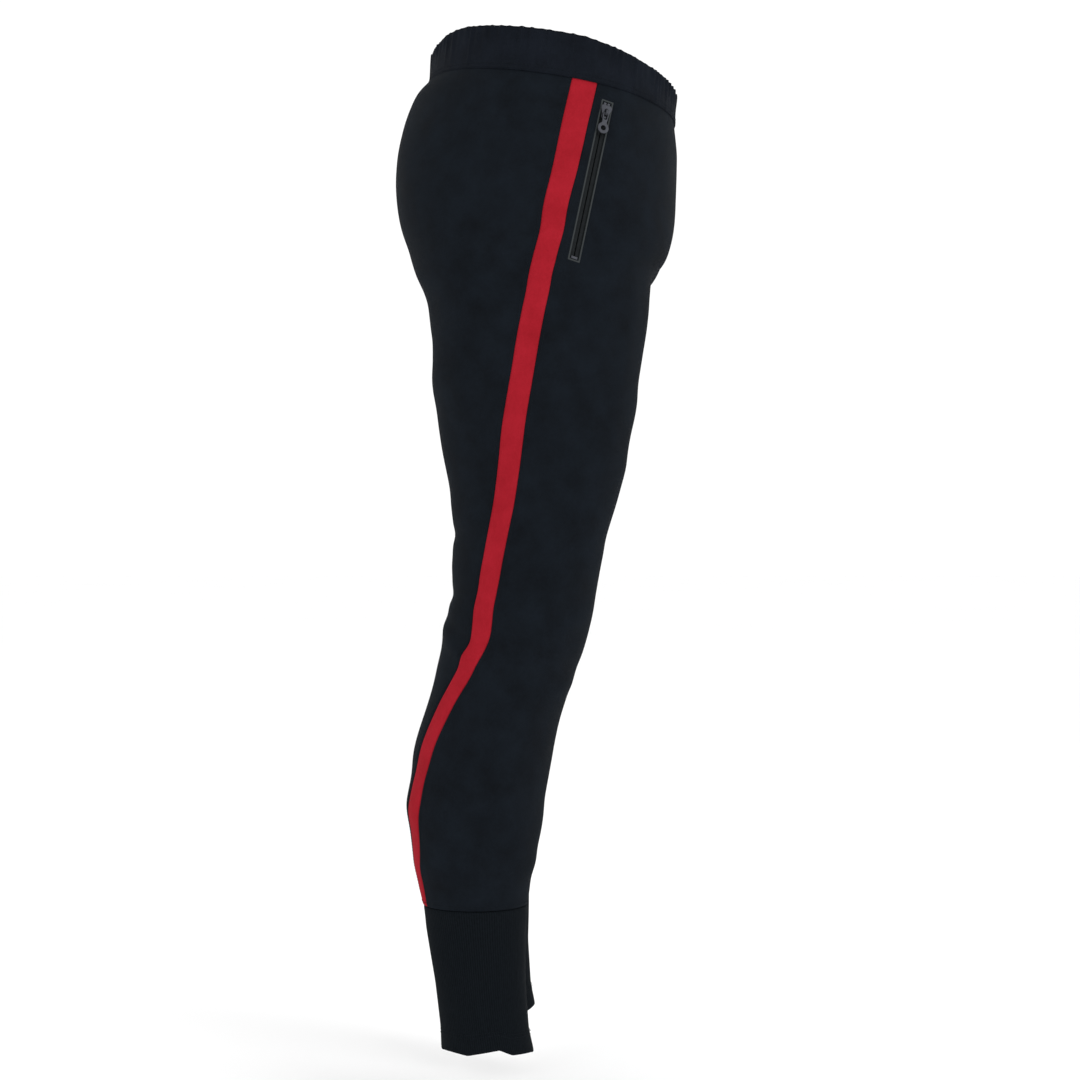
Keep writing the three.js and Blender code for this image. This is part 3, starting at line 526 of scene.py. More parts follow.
def piece(name, points, faces, body="garment", uvs=None, thick=0.0, rounds=0, offset=-1.0):
    mesh = bpy.data.meshes.new(name)
    mesh.from_pydata([tuple(p) for p in points], [], [tuple(f) for f in faces])
    mesh.update()
    mesh.polygons.foreach_set("use_smooth", [True] * len(mesh.polygons))
    if uvs is not None:
        layer = mesh.uv_layers.new(name="cloth")
        index = np.empty(len(mesh.loops), dtype=np.int32)
        mesh.loops.foreach_get("vertex_index", index)
        layer.data.foreach_set("uv", np.asarray(uvs, dtype=np.float32)[index].ravel())
    obj = bpy.data.objects.new(name, mesh)
    bpy.context.scene.collection.objects.link(obj)
    if thick:
        solid = obj.modifiers.new("thickness", "SOLIDIFY")
        solid.thickness, solid.offset, solid.use_quality_normals = thick, offset, True
    if rounds:
        obj.modifiers.new("rounding", "SUBSURF").levels = rounds
        obj.modifiers["rounding"].render_levels = rounds
    if thick or rounds:
        shaped = obj.evaluated_get(bpy.context.evaluated_depsgraph_get())
        final = bpy.data.meshes.new_from_object(shaped)
        obj.modifiers.clear()
        obj.data = final
    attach(obj, body)
    made[name] = obj
    return obj


def grid_faces(row_count, column_count, flip=False, skip=lambda i, j: False, wraps=False):
    faces = []
    for i in range(row_count - 1):
        for j in range(column_count if wraps else column_count - 1):
            if skip(i, j):
                continue
            k = (j + 1) % column_count
            face = [i * column_count + j, (i + 1) * column_count + j,
                    (i + 1) * column_count + k, i * column_count + k]
            faces.append(face[::-1] if flip else face)
    return faces


def mirror(grid):
    return grid * np.array([-1.0, 1.0, 1.0])


def declare(wide, long):
    """Round a sheet's cut width and length to a tenth of a millimetre; the rounded values are not kept."""
    wide, long = round(float(wide), 4), round(float(long), 4)


# %% [markdown]
# ## The three panels of each leg
# Front panel, side stripe and back panel are cut separately and overlocked together, so each is
# its own sheet. At a seam the knit rolls under by about a millimetre, which leaves the fine valley
# that shows where two panels meet. The front panel has the slot of the pocket zip cut out of it.

# %% Panels and stripes
CLOTH = 0.0012
start_of = {"front_panel": 0, "side_stripe": FRONT_WIDE, "back_panel": FRONT_WIDE + STRIPE_WIDE}
wide_of = {"front_panel": FRONT_WIDE, "side_stripe": STRIPE_WIDE, "back_panel": BACK_WIDE}
SLOT_LEFT = FRONT_WIDE - 9          # column on the far side of the slot
slot_rows = [i for i in range(len(DROPS)) if -0.002 < local[i, SLOT_LEFT + 1, 1] < ZIP_LONG + 0.002]


def open_slot(grid):
    """Straighten the columns beside the zip and square off the ends of the slot."""
    spots = {SLOT_LEFT - 1: -SLOT_HALF - 0.0014, SLOT_LEFT: -SLOT_HALF, SLOT_LEFT + 1: 0.0,
             SLOT_LEFT + 2: SLOT_HALF, SLOT_LEFT + 3: SLOT_HALF + 0.0014}
    for i in range(slot_rows[0] - 1, slot_rows[-1] + 2):
        here = in_zip(grid[i])
        end = {slot_rows[0]: 0.0, slot_rows[-1]: ZIP_LONG}.get(i)
        if i == slot_rows[0] - 1:
            end = -0.0016
        if i == slot_rows[-1] + 1:
            end = ZIP_LONG + 0.0016
        for j, w in spots.items():
            s = end if end is not None else here[j][1]
            grid[i, j] = np.array(on_zip(w, s, 0.0))
    return grid


FLANGE, OVERLAP = 0.0026, 0.0011


def rolled(grid, normals, along):
    """Tuck the edges of a panel under where they are sewn, and turn a seam allowance inside."""
    grid = grid.copy()
    for j in (0, -1):
        grid[:, j] -= normals[:, j] * 0.0006
    grid[-1] -= normals[-1] * 0.0004
    sideways = [grid[:, j] - grid[:, k] for j, k in ((0, 1), (-1, -2))]
    first, last = (grid[:, j] - normals[:, j] * FLANGE
                   + side / np.linalg.norm(side, axis=-1, keepdims=True) * OVERLAP
                   for j, side in zip((0, -1), sideways))
    grid = np.concatenate([first[:, None], grid, last[:, None]], axis=1)
    n = np.concatenate([normals[:, :1], normals, normals[:, -1:]], axis=1)
    grid = np.concatenate([grid, (grid[-1] - n[-1] * FLANGE)[None]], axis=0)
    along = np.concatenate([along[:, :1] - FLANGE, along, along[:, -1:] + FLANGE], axis=1)
    down = np.append(DROPS, DROPS[-1] + FLANGE)
    along = np.concatenate([along, along[-1:]], axis=0)
    return grid, np.stack([along, np.repeat(down[:, None], grid.shape[1], axis=1)], axis=2)


for side in SIDES:
    whole = dressed(side)
    facing = normals_of(whole)
    whole = open_slot(whole)
    for kind, first in start_of.items():
        wide = wide_of[kind]
        across = arcs[:, first:first + wide] - middle_arc[:, None]
        grid, uvs = rolled(whole[:, first:first + wide], facing[:, first:first + wide], across)
        uvs = uvs.reshape(-1, 2)
        skip = (lambda i, j: slot_rows[0] <= i < slot_rows[-1] and SLOT_LEFT < j <= SLOT_LEFT + 2) \
            if kind == "front_panel" else (lambda i, j: False)
        shown_grid = mirror(grid) if side == "left" else grid
        faces = grid_faces(len(grid), wide + 2, flip=side == "right", skip=skip)
        name = f"{side}_{kind}_cloth"
        obj = piece(name, shown_grid.reshape(-1, 3), faces, uvs=uvs,
                    thick=CLOTH, rounds=1)
        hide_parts(f"{side}_{kind}")
        widest = float((across[:, -1] - across[:, 0]).max()) + 2 * FLANGE
        declare(widest, DROPS[-1] - DROPS[0])


# %% [markdown]
# ## Gathered waistband
# The waistband is a tube of the same cloth, folded over at the rim, with a flat elastic inside it.
# The elastic is shorter than the cloth, so the cloth puckers: small upright tucks, deepest at the
# rim and gone at the seam below. One closed strip is laid over an outer wall, a rolled rim and an
# inner wall, and the tucks are pushed outwards only, so they never bite into the elastic.

# %% The casing
band_tree, band_owner = tree_of(["waistband_casing"])
AROUND = 720


def band_level(drop):
    middle = (0.0, float(seam[:, 1].mean()))
    turns_ = np.linspace(-math.pi, math.pi, 721)[:-1] + math.pi / 720
    hits = [probe(drop, middle, t, band_tree, band_owner) for t in turns_]
    points = np.array([hit[0][:] for hit in hits if hit])
    loop = np.vstack([points, points[:1]])
    arc = np.concatenate([[0], np.cumsum(np.linalg.norm(np.diff(loop, axis=0), axis=1))])
    even = np.linspace(0, arc[-1], AROUND + 1)[:-1]
    line = np.stack([np.interp(even, arc, loop[:, k]) for k in range(3)], axis=1)
    kernel = np.exp(-0.5 * (np.arange(-18, 19) * arc[-1] / AROUND / 0.0075) ** 2)
    kernel /= kernel.sum()
    wide = np.concatenate([line[-18:], line, line[:18]])
    return np.stack([np.convolve(wide[:, k], kernel, "valid") for k in range(3)], axis=1), arc[-1]


walls = [0.0022, 0.0038, 0.0062, 0.0095, 0.0135, 0.0180, 0.0225, 0.0270, 0.0310, 0.0345, 0.0375,
         BAND_HEIGHT - 0.0011, BAND_HEIGHT - 0.0005]
rings_ = [band_level(max(drop, 0.0024)) for drop in walls]
GIRTH = rings_[0][1]
wall = np.array([points for points, _ in rings_])
wall[0, :, 2] += 0.0002
closed = np.concatenate([wall, wall[:, :1]], axis=1)
wall_out = normals_of(closed, wraps=True)[:, :-1]
wall_out *= np.sign((wall_out * (wall - wall.mean(axis=(0, 1)))).sum(axis=(1, 2)))[:, None, None]
spots = np.cumsum(rng.uniform(0.0062, 0.0135, 200))
spots = spots[spots < GIRTH - 0.004]
depths, widths = rng.uniform(0.3, 1.0, len(spots)), rng.uniform(0.0014, 0.0034, len(spots))
reach = rng.uniform(0.009, 0.030, len(spots))
along_rim = np.arange(AROUND) * GIRTH / AROUND


def tucks(drop):
    """Height of the gathers at a drop below the rim, all the way round."""
    total = np.zeros(AROUND)
    for at, deep, wide, long in zip(spots, depths, widths, reach):
        away = (along_rim - at + GIRTH / 2) % GIRTH - GIRTH / 2
        total += deep * np.exp(-(away / wide) ** 2) * math.exp(-((drop / long) ** 2))
    return total


# %% Lay of the rim
# how the worn rim lies against the frame's level one: fore-aft place (+ is back), rise, metres
RIM_LIE = [
    (-0.115, -0.0077), (-0.090, -0.0052), (-0.063, -0.0010), (-0.026, 0.0028),
    (0.085, 0.0027), (0.104, 0.0), (0.113, -0.0040), (0.130, -0.0055),
]


def worn(points):
    """Lay the band as it is worn: the rim dips in front and behind, and eases back to the seam."""
    points = points.copy()
    drops_ = np.array([drop_of(y, z) for y, z in points.reshape(-1, 3)[:, 1:]]).reshape(points.shape[:-1])
    share = 1 - smooth(np.clip(drops_, 0, None) / (BAND_HEIGHT - 0.006))
    table = np.array(RIM_LIE)
    points[..., 2] += np.interp(points[..., 1], table[:, 0], table[:, 1]) * share
    return points


rows_out = []
for drop, line, n in zip(walls, wall, wall_out):
    seam_pull = 0.0008 * math.exp(-(((BAND_HEIGHT - drop) / 0.0016) ** 2))
    rows_out.append(line + n * (0.0027 * tucks(drop) - 0.0006 - seam_pull)[:, None])
THROUGH = 0.0029
rim = wall[0] - wall_out[0] * 0.0006
up = np.array([0.0, 0.0, 1.0])
rows_rim = []
for angle in np.radians([150, 118, 90, 62, 30]):
    offset = THROUGH / 2 * (1 + np.cos(math.pi - angle))
    height = (0.0017 + 0.0011 * tucks(0.0)) * math.sin(angle)
    lean = 0.0027 * tucks(0.0) * (offset < THROUGH / 2)
    rows_rim.append(rim - wall_out[0] * (THROUGH - offset - lean * 0.8)[:, None]
                    + up * np.reshape(height, (-1, 1)))
rows_in = []
for drop, line, n in zip(walls[:-1], wall, wall_out):
    rows_in.append(line - n * (0.0006 + THROUGH + 0.0008 * tucks(drop + 0.006))[:, None])
casing = worn(np.array(rows_out[::-1] + rows_rim[::-1] + rows_in))
lengths = np.concatenate([[0], np.cumsum(np.linalg.norm(np.diff(casing[:, 0], axis=0), axis=1))])
uvs = np.stack([np.tile(along_rim, (len(casing), 1)),
                np.repeat(lengths[:, None], AROUND, axis=1)], axis=2).reshape(-1, 2)
faces = grid_faces(len(casing), AROUND, wraps=True)
casing_obj = piece("waistband_gathered", casing.reshape(-1, 3), faces, uvs=uvs,
                   thick=CLOTH, offset=0.0)
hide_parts("waistband_casing")
declare(GIRTH * 1.04, lengths[-1])
print("waistband girth", round(GIRTH, 3), "m,", len(spots), "tucks,", len(casing), "rows")


# %% [markdown]
# ## Elastic and care label
# The elastic is a flat woven ribbon hidden in the waistband, and the label is a blank printed-satin
# tab caught in the back seam. Both are read from the frame by casting rays at their own nodes.

# %% Elastic ribbon
elastic_tree, elastic_owner = tree_of(["waistband_elastic"])
elastic = verts("waistband_elastic")
elastic_seam = elastic[np.abs(elastic[:, 0]) < 0.001]
top_drop = min(drop_of(y, z) for _, y, z in elastic_seam) + 0.0002
low_drop = max(drop_of(y, z) for _, y, z in elastic_seam) - 0.0008
ELASTIC_AROUND = 180
ribbon = []
for drop in np.linspace(top_drop, low_drop, 9):
    middle = (0.0, float(seam[:, 1].mean()))
    hits = [probe(drop, middle, t, elastic_tree, elastic_owner)
            for t in np.linspace(-math.pi, math.pi, ELASTIC_AROUND + 1)[:-1] + 0.01]
    ribbon.append([hit[0][:] for hit in hits])
ribbon = np.array(ribbon)
wide = np.concatenate([ribbon[:, -2:], ribbon, ribbon[:, :2]], axis=1)
ribbon = sum(wide[:, k:k + ELASTIC_AROUND] * w for k, w in enumerate((0.1, 0.2, 0.4, 0.2, 0.1)))
steps = np.linalg.norm(np.diff(ribbon[0], axis=0), axis=1)
ELASTIC_LONG, ELASTIC_WIDE = float(steps.sum() + steps.mean()), low_drop - top_drop
uvs = np.stack(np.meshgrid(np.linspace(0, ELASTIC_LONG, ELASTIC_AROUND),
                           np.linspace(0, ELASTIC_WIDE, 9)), axis=2).reshape(-1, 2)
obj = piece("waist_elastic_ribbon", worn(ribbon).reshape(-1, 3),
            grid_faces(9, ELASTIC_AROUND, wraps=True, flip=True), uvs=uvs,
            thick=0.0011, rounds=1)
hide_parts("waistband_elastic")
print("elastic", round(ELASTIC_LONG, 3), "x", round(ELASTIC_WIDE, 4))

# %% Care label
label_tree, _ = tree_of(["care_label"])
low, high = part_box("care_label")
rows_ = []
for z in np.linspace(high.z - 0.0012, low.z + 0.0012, 15):
    row = []
    for x in np.linspace(low.x + 0.0003, high.x - 0.0003, 13):
        hit = label_tree.ray_cast(Vector((x, low.y - 0.05, z)), Vector((0, 1, 0)), 0.2)
        hang = smooth((high.z - 0.010 - z) / 0.035)
        curl = 0.0011 * hang * math.sin(x * 150 + 0.6) + 0.0012 * hang
        row.append((x, hit[0].y - float(curl), z) if hit[0] else None)
    rows_.append(row)
rows_ = [row for row in rows_ if all(p is not None for p in row)]
tab = np.array(rows_)
uvs = tab[..., [0, 2]].reshape(-1, 2)
obj = piece("care_label_blank", tab.reshape(-1, 3), grid_faces(len(tab), 13), uvs=uvs,
            thick=0.00035, rounds=1)
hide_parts("care_label")
declare(high.x - low.x, float(np.ptp(tab[..., 2])) + 0.001)
print("label", tab.shape, "rows and columns")

# %% [markdown]
# ## Tapered ankle panels
# The ankle is a tube of rib knit, sewn to the trouser cloth and turned up inside at the hem. It is
# read from its node like the leg, then folded: outer ply, a tight turn, inner ply. The hem of a
# real one is never level, so it waves up and down a few millimetres and flares at the front.

# %% Rib tubes
CUFF_AROUND = 132
RIB = 0.0015
cuff_tree, cuff_owner = tree_of(["right_ankle_cuff"])


def cuff_level(drop, guess):
    x, y = guess
    for _ in range(3):
        ends = [probe(drop, (x, y), t, cuff_tree, cuff_owner)[0]
                for t in (-math.pi / 2, math.pi / 2, 0, math.pi)]
        x, y = (ends[2].x + ends[3].x) / 2, (ends[0].y + ends[1].y) / 2
    turns_ = np.linspace(-math.pi, math.pi, 361)[:-1] + 0.004
    line = np.array([probe(drop, (x, y), t, cuff_tree, cuff_owner)[0][:] for t in turns_])
    loop = np.vstack([line, line[:1]])
    arc = np.concatenate([[0], np.cumsum(np.linalg.norm(np.diff(loop, axis=0), axis=1))])
    even = np.linspace(0, arc[-1], CUFF_AROUND + 1)[:-1]
    line = np.stack([np.interp(even, arc, loop[:, k]) for k in range(3)], axis=1)
    kernel = np.exp(-0.5 * (np.arange(-8, 9) * arc[-1] / CUFF_AROUND / 0.006) ** 2)
    kernel /= kernel.sum()
    wide = np.concatenate([line[-8:], line, line[:8]])
    line = np.stack([np.convolve(wide[:, k], kernel, "valid") for k in range(3)], axis=1)
    return line, (x, y), arc[-1]


HEM_TURN = 0.022
HEM_RISE = 0.0078          # the hem rides up on the outer side of the ankle
WAVE = [(0.000, 0.001), (0.025, -0.0005), (0.040, -0.0014), (0.052, 0.0036), (0.066, 0.0010),
        (0.084, -0.0022), (0.098, 0.0006), (0.112, 0.0030)]
cuff_drops = np.concatenate([[CUFF_TOP + 0.0004, CUFF_TOP + 0.0019],
                             np.linspace(CUFF_TOP + 0.006, HEM - 0.0022, 27)])
cuff_rows, guess = [], levels[-1]["centre"]
for drop in cuff_drops:
    line, guess, girth = cuff_level(drop, guess)
    cuff_rows.append(line)
cuff_skin = np.array(cuff_rows)
closed = np.concatenate([cuff_skin, cuff_skin[:, :1]], axis=1)
cuff_out = normals_of(closed, wraps=True)[:, :-1]
cuff_out *= np.sign((cuff_out * (cuff_skin - cuff_skin.mean(axis=1, keepdims=True))).sum())
print("ankle girth at the hem", round(girth, 3), "m")


def hem_wave(points, seed):
    outer = points[:, 0] < -0.095
    table = np.array(WAVE)
    wave = np.interp(points[:, 1], table[:, 0], table[:, 1])
    around = np.linspace(0, 2 * math.pi, len(points), endpoint=False)
    other = 0.0018 * np.sin(2 * around + seed) + 0.0010 * np.sin(5 * around + 2 * seed)
    share = smooth((-0.085 - points[:, 0]) / 0.02)
    return (wave * share + other * (1 - share)) if seed == 1 else (0.6 * wave * share + other)


cuff_outer = {}
for side, seed in (("right", 1), ("left", 4)):
    bumps = ripple(cuff_skin, 3 if side == "right" else 8) * 0.7
    ease = np.minimum(smooth((cuff_drops - CUFF_TOP - 0.004) / 0.02), 1.0)
    ring_a = np.linspace(0, 2 * math.pi, CUFF_AROUND, endpoint=False)
    slack = 0.0011 * np.sin(3 * ring_a + seed)[None, :] * ease[:, None]
    outer = cuff_skin + cuff_out * (bumps * ease[:, None] + slack - RIB / 2)[..., None]
    outer[0] -= cuff_out[0] * 0.0003
    wave = hem_wave(cuff_skin[-1], seed)
    round_hem = cuff_skin[-1] - cuff_skin[-1].mean(axis=0)
    facing_side = np.clip(-round_hem[:, 0] / np.hypot(round_hem[:, 0], round_hem[:, 1]), 0, 1)
    wave = wave + HEM_RISE * facing_side ** 0.8
    lift = smooth((cuff_drops - (HEM - 0.055)) / 0.053) ** 1.2
    outer[..., 2] += wave[None, :] * lift[:, None]
    bend = []
    for angle in (35, 75, 105, 145):
        a = math.radians(angle)
        inwards = 0.00095 * (1 - math.cos(a))
        low_ = 0.0013 * math.sin(a)
        bend.append(outer[-1] - cuff_out[-1] * inwards - up * low_)
    back_up = []
    for rise in (0.001, 0.006, 0.011, 0.016, HEM_TURN - 0.001):
        spot = (cuff_drops[-1] - rise)
        i = int(np.searchsorted(cuff_drops, spot))
        t = (spot - cuff_drops[i - 1]) / (cuff_drops[i] - cuff_drops[i - 1])
        here = outer[i - 1] * (1 - t) + outer[i] * t
        back_up.append(here - cuff_out[-1] * 0.0019)
    inside_seam = [outer[0] - cuff_out[0] * 0.0032]
    tube = np.array(inside_seam + list(outer) + bend + back_up)
    long_ = np.concatenate([[0], np.cumsum(np.linalg.norm(np.diff(tube[:, 0], axis=0), axis=1))])
    uvs = np.stack([np.tile(np.linspace(0, girth, CUFF_AROUND, endpoint=False), (len(tube), 1)),
                    np.repeat(long_[:, None], CUFF_AROUND, axis=1)], axis=2).reshape(-1, 2)
    shown_tube = mirror(tube) if side == "left" else tube
    obj = piece(f"{side}_ankle_rib", shown_tube.reshape(-1, 3),
                grid_faces(len(tube), CUFF_AROUND, wraps=True, flip=side == "right"),
                uvs=uvs, thick=RIB, rounds=1, offset=0.0)
    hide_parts(f"{side}_ankle_cuff")
    declare(girth * 1.06, long_[-1])
    cuff_outer[side] = outer
    print(obj.name, "cut", round(girth * 1.06, 3), "x", round(long_[-1], 3))

# %% [markdown]
# ## Pocket bags
# Each pocket is two layers of fine lining hung from the zip tapes: an outer one that starts at the
# front tape and an inner one that passes behind the slider. They are read from their nodes row by
# row and smoothed down their length.

# %% Lining sheets
LINING = 0.0006
for kind in ("outer", "inner"):
    tree, owner = tree_of([f"right_pocket_lining_{kind}"])
    low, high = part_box(f"right_pocket_lining_{kind}")
    bag = []
    for drop in np.linspace(drop_of(low.y, high.z) + 0.002, -low.z - 0.004, 40):
        k = int(np.argmin(np.abs(DROPS - drop)))
        centre = tuple(centres[k])
        fan = np.radians(np.arange(-150, 60, 0.5))
        hits = [(t, probe(drop, centre, t, tree, owner)) for t in fan]
        line = np.array([hit[0][:] for _, hit in hits if hit])
        if len(line) < 40:
            continue
        gaps = np.linalg.norm(np.diff(line, axis=0), axis=1)
        arc = np.concatenate([[0], np.cumsum(gaps)])
        even = np.linspace(0.0004, arc[-1] - 0.0004, 36)
        bag.append(np.stack([np.interp(even, arc, line[:, n]) for n in range(3)], axis=1))
    bag = np.array(bag)
    bag[1:-1] = 0.5 * bag[1:-1] + 0.25 * (bag[2:] + bag[:-2])
    for side in SIDES:
        sheet_ = mirror(bag) if side == "left" else bag
        uvs = np.stack(np.meshgrid(np.linspace(0, 0.12, 36), np.linspace(0, 0.2, len(bag))), axis=2)
        obj = piece(f"{side}_pocket_bag_{kind}", sheet_.reshape(-1, 3),
                    grid_faces(len(bag), 36, flip=side == "right"),
                    uvs=uvs.reshape(-1, 2), thick=LINING, rounds=1)
        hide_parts(f"{side}_pocket_lining_{kind}")
        across = float(np.linalg.norm(np.diff(bag[5], axis=0), axis=1).sum())
        down_ = float(np.linalg.norm(np.diff(bag[:, 18], axis=0), axis=1).sum())
        declare(across, down_)
        print(obj.name, round(across, 3), "x", round(down_, 3), "m")


# %% [markdown]
# ## The pocket zip
# A reverse coil zip: two woven tapes nearly meet in the slot, and the nylon coil is on their
# hidden side. The coil is one wire wound round and round, so it is swept along a helix. The tape
# edges beside it, the two stops and the folded edge of the slot are each pieces of their own.

# %% Sweep an outline along a path
def swept(path, across, outwards, outline, closed=False):
    """Points and faces of a tube: outline is pairs of (across, outwards) at every path point."""
    size, count = len(outline), len(path)
    points = [p + a * u + o * v for p, a, o in zip(path, across, outwards) for u, v in outline]
    faces = []
    for i in range(count if closed else count - 1):
        k = (i + 1) % count
        for j in range(size):
            m = (j + 1) % size
            faces.append([i * size + j, i * size + m, k * size + m, k * size + j])
    if not closed:
        faces += [list(range(size))[::-1], [(count - 1) * size + j for j in range(size)]]
    return points, faces


def placed(points, side):
    """Zip directions to the garment's own, on either side of the body."""
    out = np.array([on_zip(*p)[:] for p in points])
    return mirror(out) if side == "left" else out


def facing_out(points, faces, side):
    """Turn all faces the right way for a closed shape."""
    points = np.asarray(points)
    total = sum(float(np.dot(points[f[0]], np.cross(points[f[k]], points[f[k + 1]])))
                for f in faces for k in range(1, len(f) - 1))
    return [f[::-1] for f in faces] if total < 0 else faces


def zip_piece(name, points, faces, side, body, slot, node=None, rounds=0, uvs=None):
    placed_points = placed(points, side)
    obj = piece(f"{side}_{name}", placed_points, facing_out(placed_points, faces, side), body=body,
                rounds=rounds, uvs=uvs)
    if node:
        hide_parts(*[f"{side}_{n}" for n in node])
    return obj


def circle_outline(radius, count, flat=1.0):
    return [(radius * math.cos(t), radius * flat * math.sin(t))
            for t in np.linspace(0, 2 * math.pi, count, endpoint=False)]


# %% Tapes, coils and the folded edge
TAPE_OUTER, TAPE_THICK = -0.0015, 0.0006
TAPE_IN, TAPE_OUT_W, TAPE_SPARE = 0.00055, 0.0104, 0.005
COIL_PITCH = 0.00125
for side in SIDES:
    for kind, sign in (("back", 1), ("front", -1)):
        across_w = [TAPE_IN, TAPE_IN + 0.0002, 0.0012, 0.0022, 0.0034, 0.0050, 0.0070, 0.0090,
                    TAPE_OUT_W - 0.0002, TAPE_OUT_W]
        lift = [-0.0002, 0.0, 0.00005, 0.00005, -0.00005, -0.00005, 0, 0, 0, -0.0001]
        count = 84
        line = [(sign * w, s, TAPE_OUTER + l - 0.00003)
                for s in np.linspace(-TAPE_SPARE, ZIP_LONG + TAPE_SPARE, count)
                for w, l in zip(across_w, lift)]
        under = [(w, s, n - TAPE_THICK + 0.00012) for w, s, n in line]
        size = len(across_w)
        faces = grid_faces(count, size)
        faces += [[v + len(line) for v in f[::-1]] for f in grid_faces(count, size)]
        border = [i * size for i in range(count)] + [(count - 1) * size + j for j in range(1, size)] \
            + [i * size + size - 1 for i in range(count - 2, -1, -1)] + list(range(size - 2, 0, -1))
        for p, q in zip(border, border[1:] + border[:1]):
            faces.append([q, p, p + len(line), q + len(line)])
        uvs = [(w, s) for w, s, _ in line + under]
        zip_piece(f"zip_tape_{kind}_woven", line + under, faces, side, "garment", "zip_tape",
                  [f"zip_tape_{kind}"], uvs=uvs)
        turns_count = int((ZIP_LONG - 0.0050) / COIL_PITCH)
        path = []
        for k in range(turns_count * 12 + 1):
            t = k / 12
            a = 2 * math.pi * t
            path.append(np.array([sign * (0.00190 - 0.00082 * math.cos(a)), 0.0039 + t * COIL_PITCH,
                                  -0.0032 + 0.00047 * math.sin(a)]))
        path = np.array(path)
        tangent = np.gradient(path, axis=0)
        tangent /= np.linalg.norm(tangent, axis=1, keepdims=True)
        side_v = np.cross(tangent, np.array([0, 1.0, 0]))
        side_v /= np.linalg.norm(side_v, axis=1, keepdims=True)
        other_v = np.cross(tangent, side_v)
        points, faces = swept(path, side_v, other_v, circle_outline(0.00029, 6))
        zip_piece(f"zip_coil_{kind}", points, faces, side, "garment", "zip_teeth", [f"zip_teeth_{kind}"])

    edge_path, edge_across = [], []
    w0, s0, s1 = SLOT_HALF + 0.00085, -0.00085, ZIP_LONG + 0.00085
    for w, s_from, s_to in ((w0, s0, s1), (-w0, s1, s0)):
        for s in np.linspace(s_from, s_to, 60):
            edge_path.append(np.array([w, s, 0.0]))
            corner = s in (s_from, s_to)
            edge_across.append(np.array([math.copysign(1.0, w), 0.0 if not corner else
                                         math.copysign(1.0, s - ZIP_LONG / 2), 0.0]))
    lip = [(-0.00085, -0.0002), (-0.0008, 0.0001), (-0.0004, 0.00026), (0.0003, 0.00026),
           (0.00075, 0.00012), (0.00085, -0.0002)]
    points, faces = swept(edge_path, edge_across, [np.array([0, 0, 1.0])] * len(edge_path), lip, True)
    zip_piece("zip_slot_edge", points, faces, side, "garment", "zip_tape")
print("coil turns", turns_count, "of", COIL_PITCH * 1000, "mm")


# %% [markdown]
# ## Stamped and cast metal
# The stops, the slider and its ring pull are zinc castings. Their outlines are drawn flat, filled,
# given a thickness and a small bevel by a curve object, and then turned to mesh: a bevel is what
# makes a casting catch the light along its edges. The bridge over the pull is a swept arch.

# %% Outlines with a bevel
def eased_outline(corners, per=6):
    """A smooth closed line through a few corners."""
    p = np.array(corners, dtype=float)
    out = []
    for i in range(len(p)):
        a, b, c, d = p[i - 1], p[i], p[(i + 1) % len(p)], p[(i + 2) % len(p)]
        for t in np.linspace(0, 1, per, endpoint=False):
            out.append(0.5 * ((2 * b) + (c - a) * t + (2 * a - 5 * b + 4 * c - d) * t ** 2
                              + (3 * b - a - 3 * c + d) * t ** 3))
    return [tuple(v) for v in out]


def stamped(outlines, low, high, bevel):
    """Flat outlines in metres, the first one the outside and the rest holes, made solid."""
    curve = bpy.data.curves.new("outline", "CURVE")
    curve.dimensions, curve.fill_mode = "2D", "BOTH"
    curve.extrude = (high - low) * 500 - bevel * 1000
    curve.bevel_depth, curve.bevel_resolution = bevel * 1000, 2
    curve.offset = -bevel * 1000
    for outline in outlines:
        line = curve.splines.new("POLY")
        line.points.add(len(outline) - 1)
        for point, (x, y) in zip(line.points, outline):
            point.co = (x * 1000, y * 1000, 0, 1)
        line.use_cyclic_u = True
    holder = bpy.data.objects.new("outline", curve)
    bpy.context.scene.collection.objects.link(holder)
    mesh = bpy.data.meshes.new_from_object(holder.evaluated_get(bpy.context.evaluated_depsgraph_get()))
    work = bmesh.new()
    work.from_mesh(mesh)
    bmesh.ops.remove_doubles(work, verts=work.verts, dist=0.002)
    halfway = np.array([0, 0, (low + high) / 2])
    points = [np.array(v.co[:]) / 1000 + halfway for v in work.verts]
    work.verts.index_update()
    faces = [[v.index for v in f.verts] for f in work.faces]
    work.free()
    bpy.data.objects.remove(holder)
    bpy.data.curves.remove(curve)
    bpy.data.meshes.remove(mesh)
    return points, faces


def merged(*shapes):
    points, faces = [], []
    for shape_points, shape_faces in shapes:
        start = len(points)
        shape_faces = facing_out(shape_points, shape_faces, "right")
        points += [np.asarray(p) for p in shape_points]
        faces += [[v + start for v in f] for f in shape_faces]
    return points, faces


def rounded_box(w0, w1, s0, s1, n0, n1, bevel=0.0002, corner=0.0005):
    outline = []
    for cx, cy, start in ((w1 - corner, s1 - corner, 0), (w0 + corner, s1 - corner, 90),
                          (w0 + corner, s0 + corner, 180), (w1 - corner, s0 + corner, 270)):
        for a in np.radians(np.linspace(start, start + 90, 5)):
            outline.append((cx + corner * math.cos(a), cy + corner * math.sin(a)))
    return stamped([outline], n0, n1, bevel)


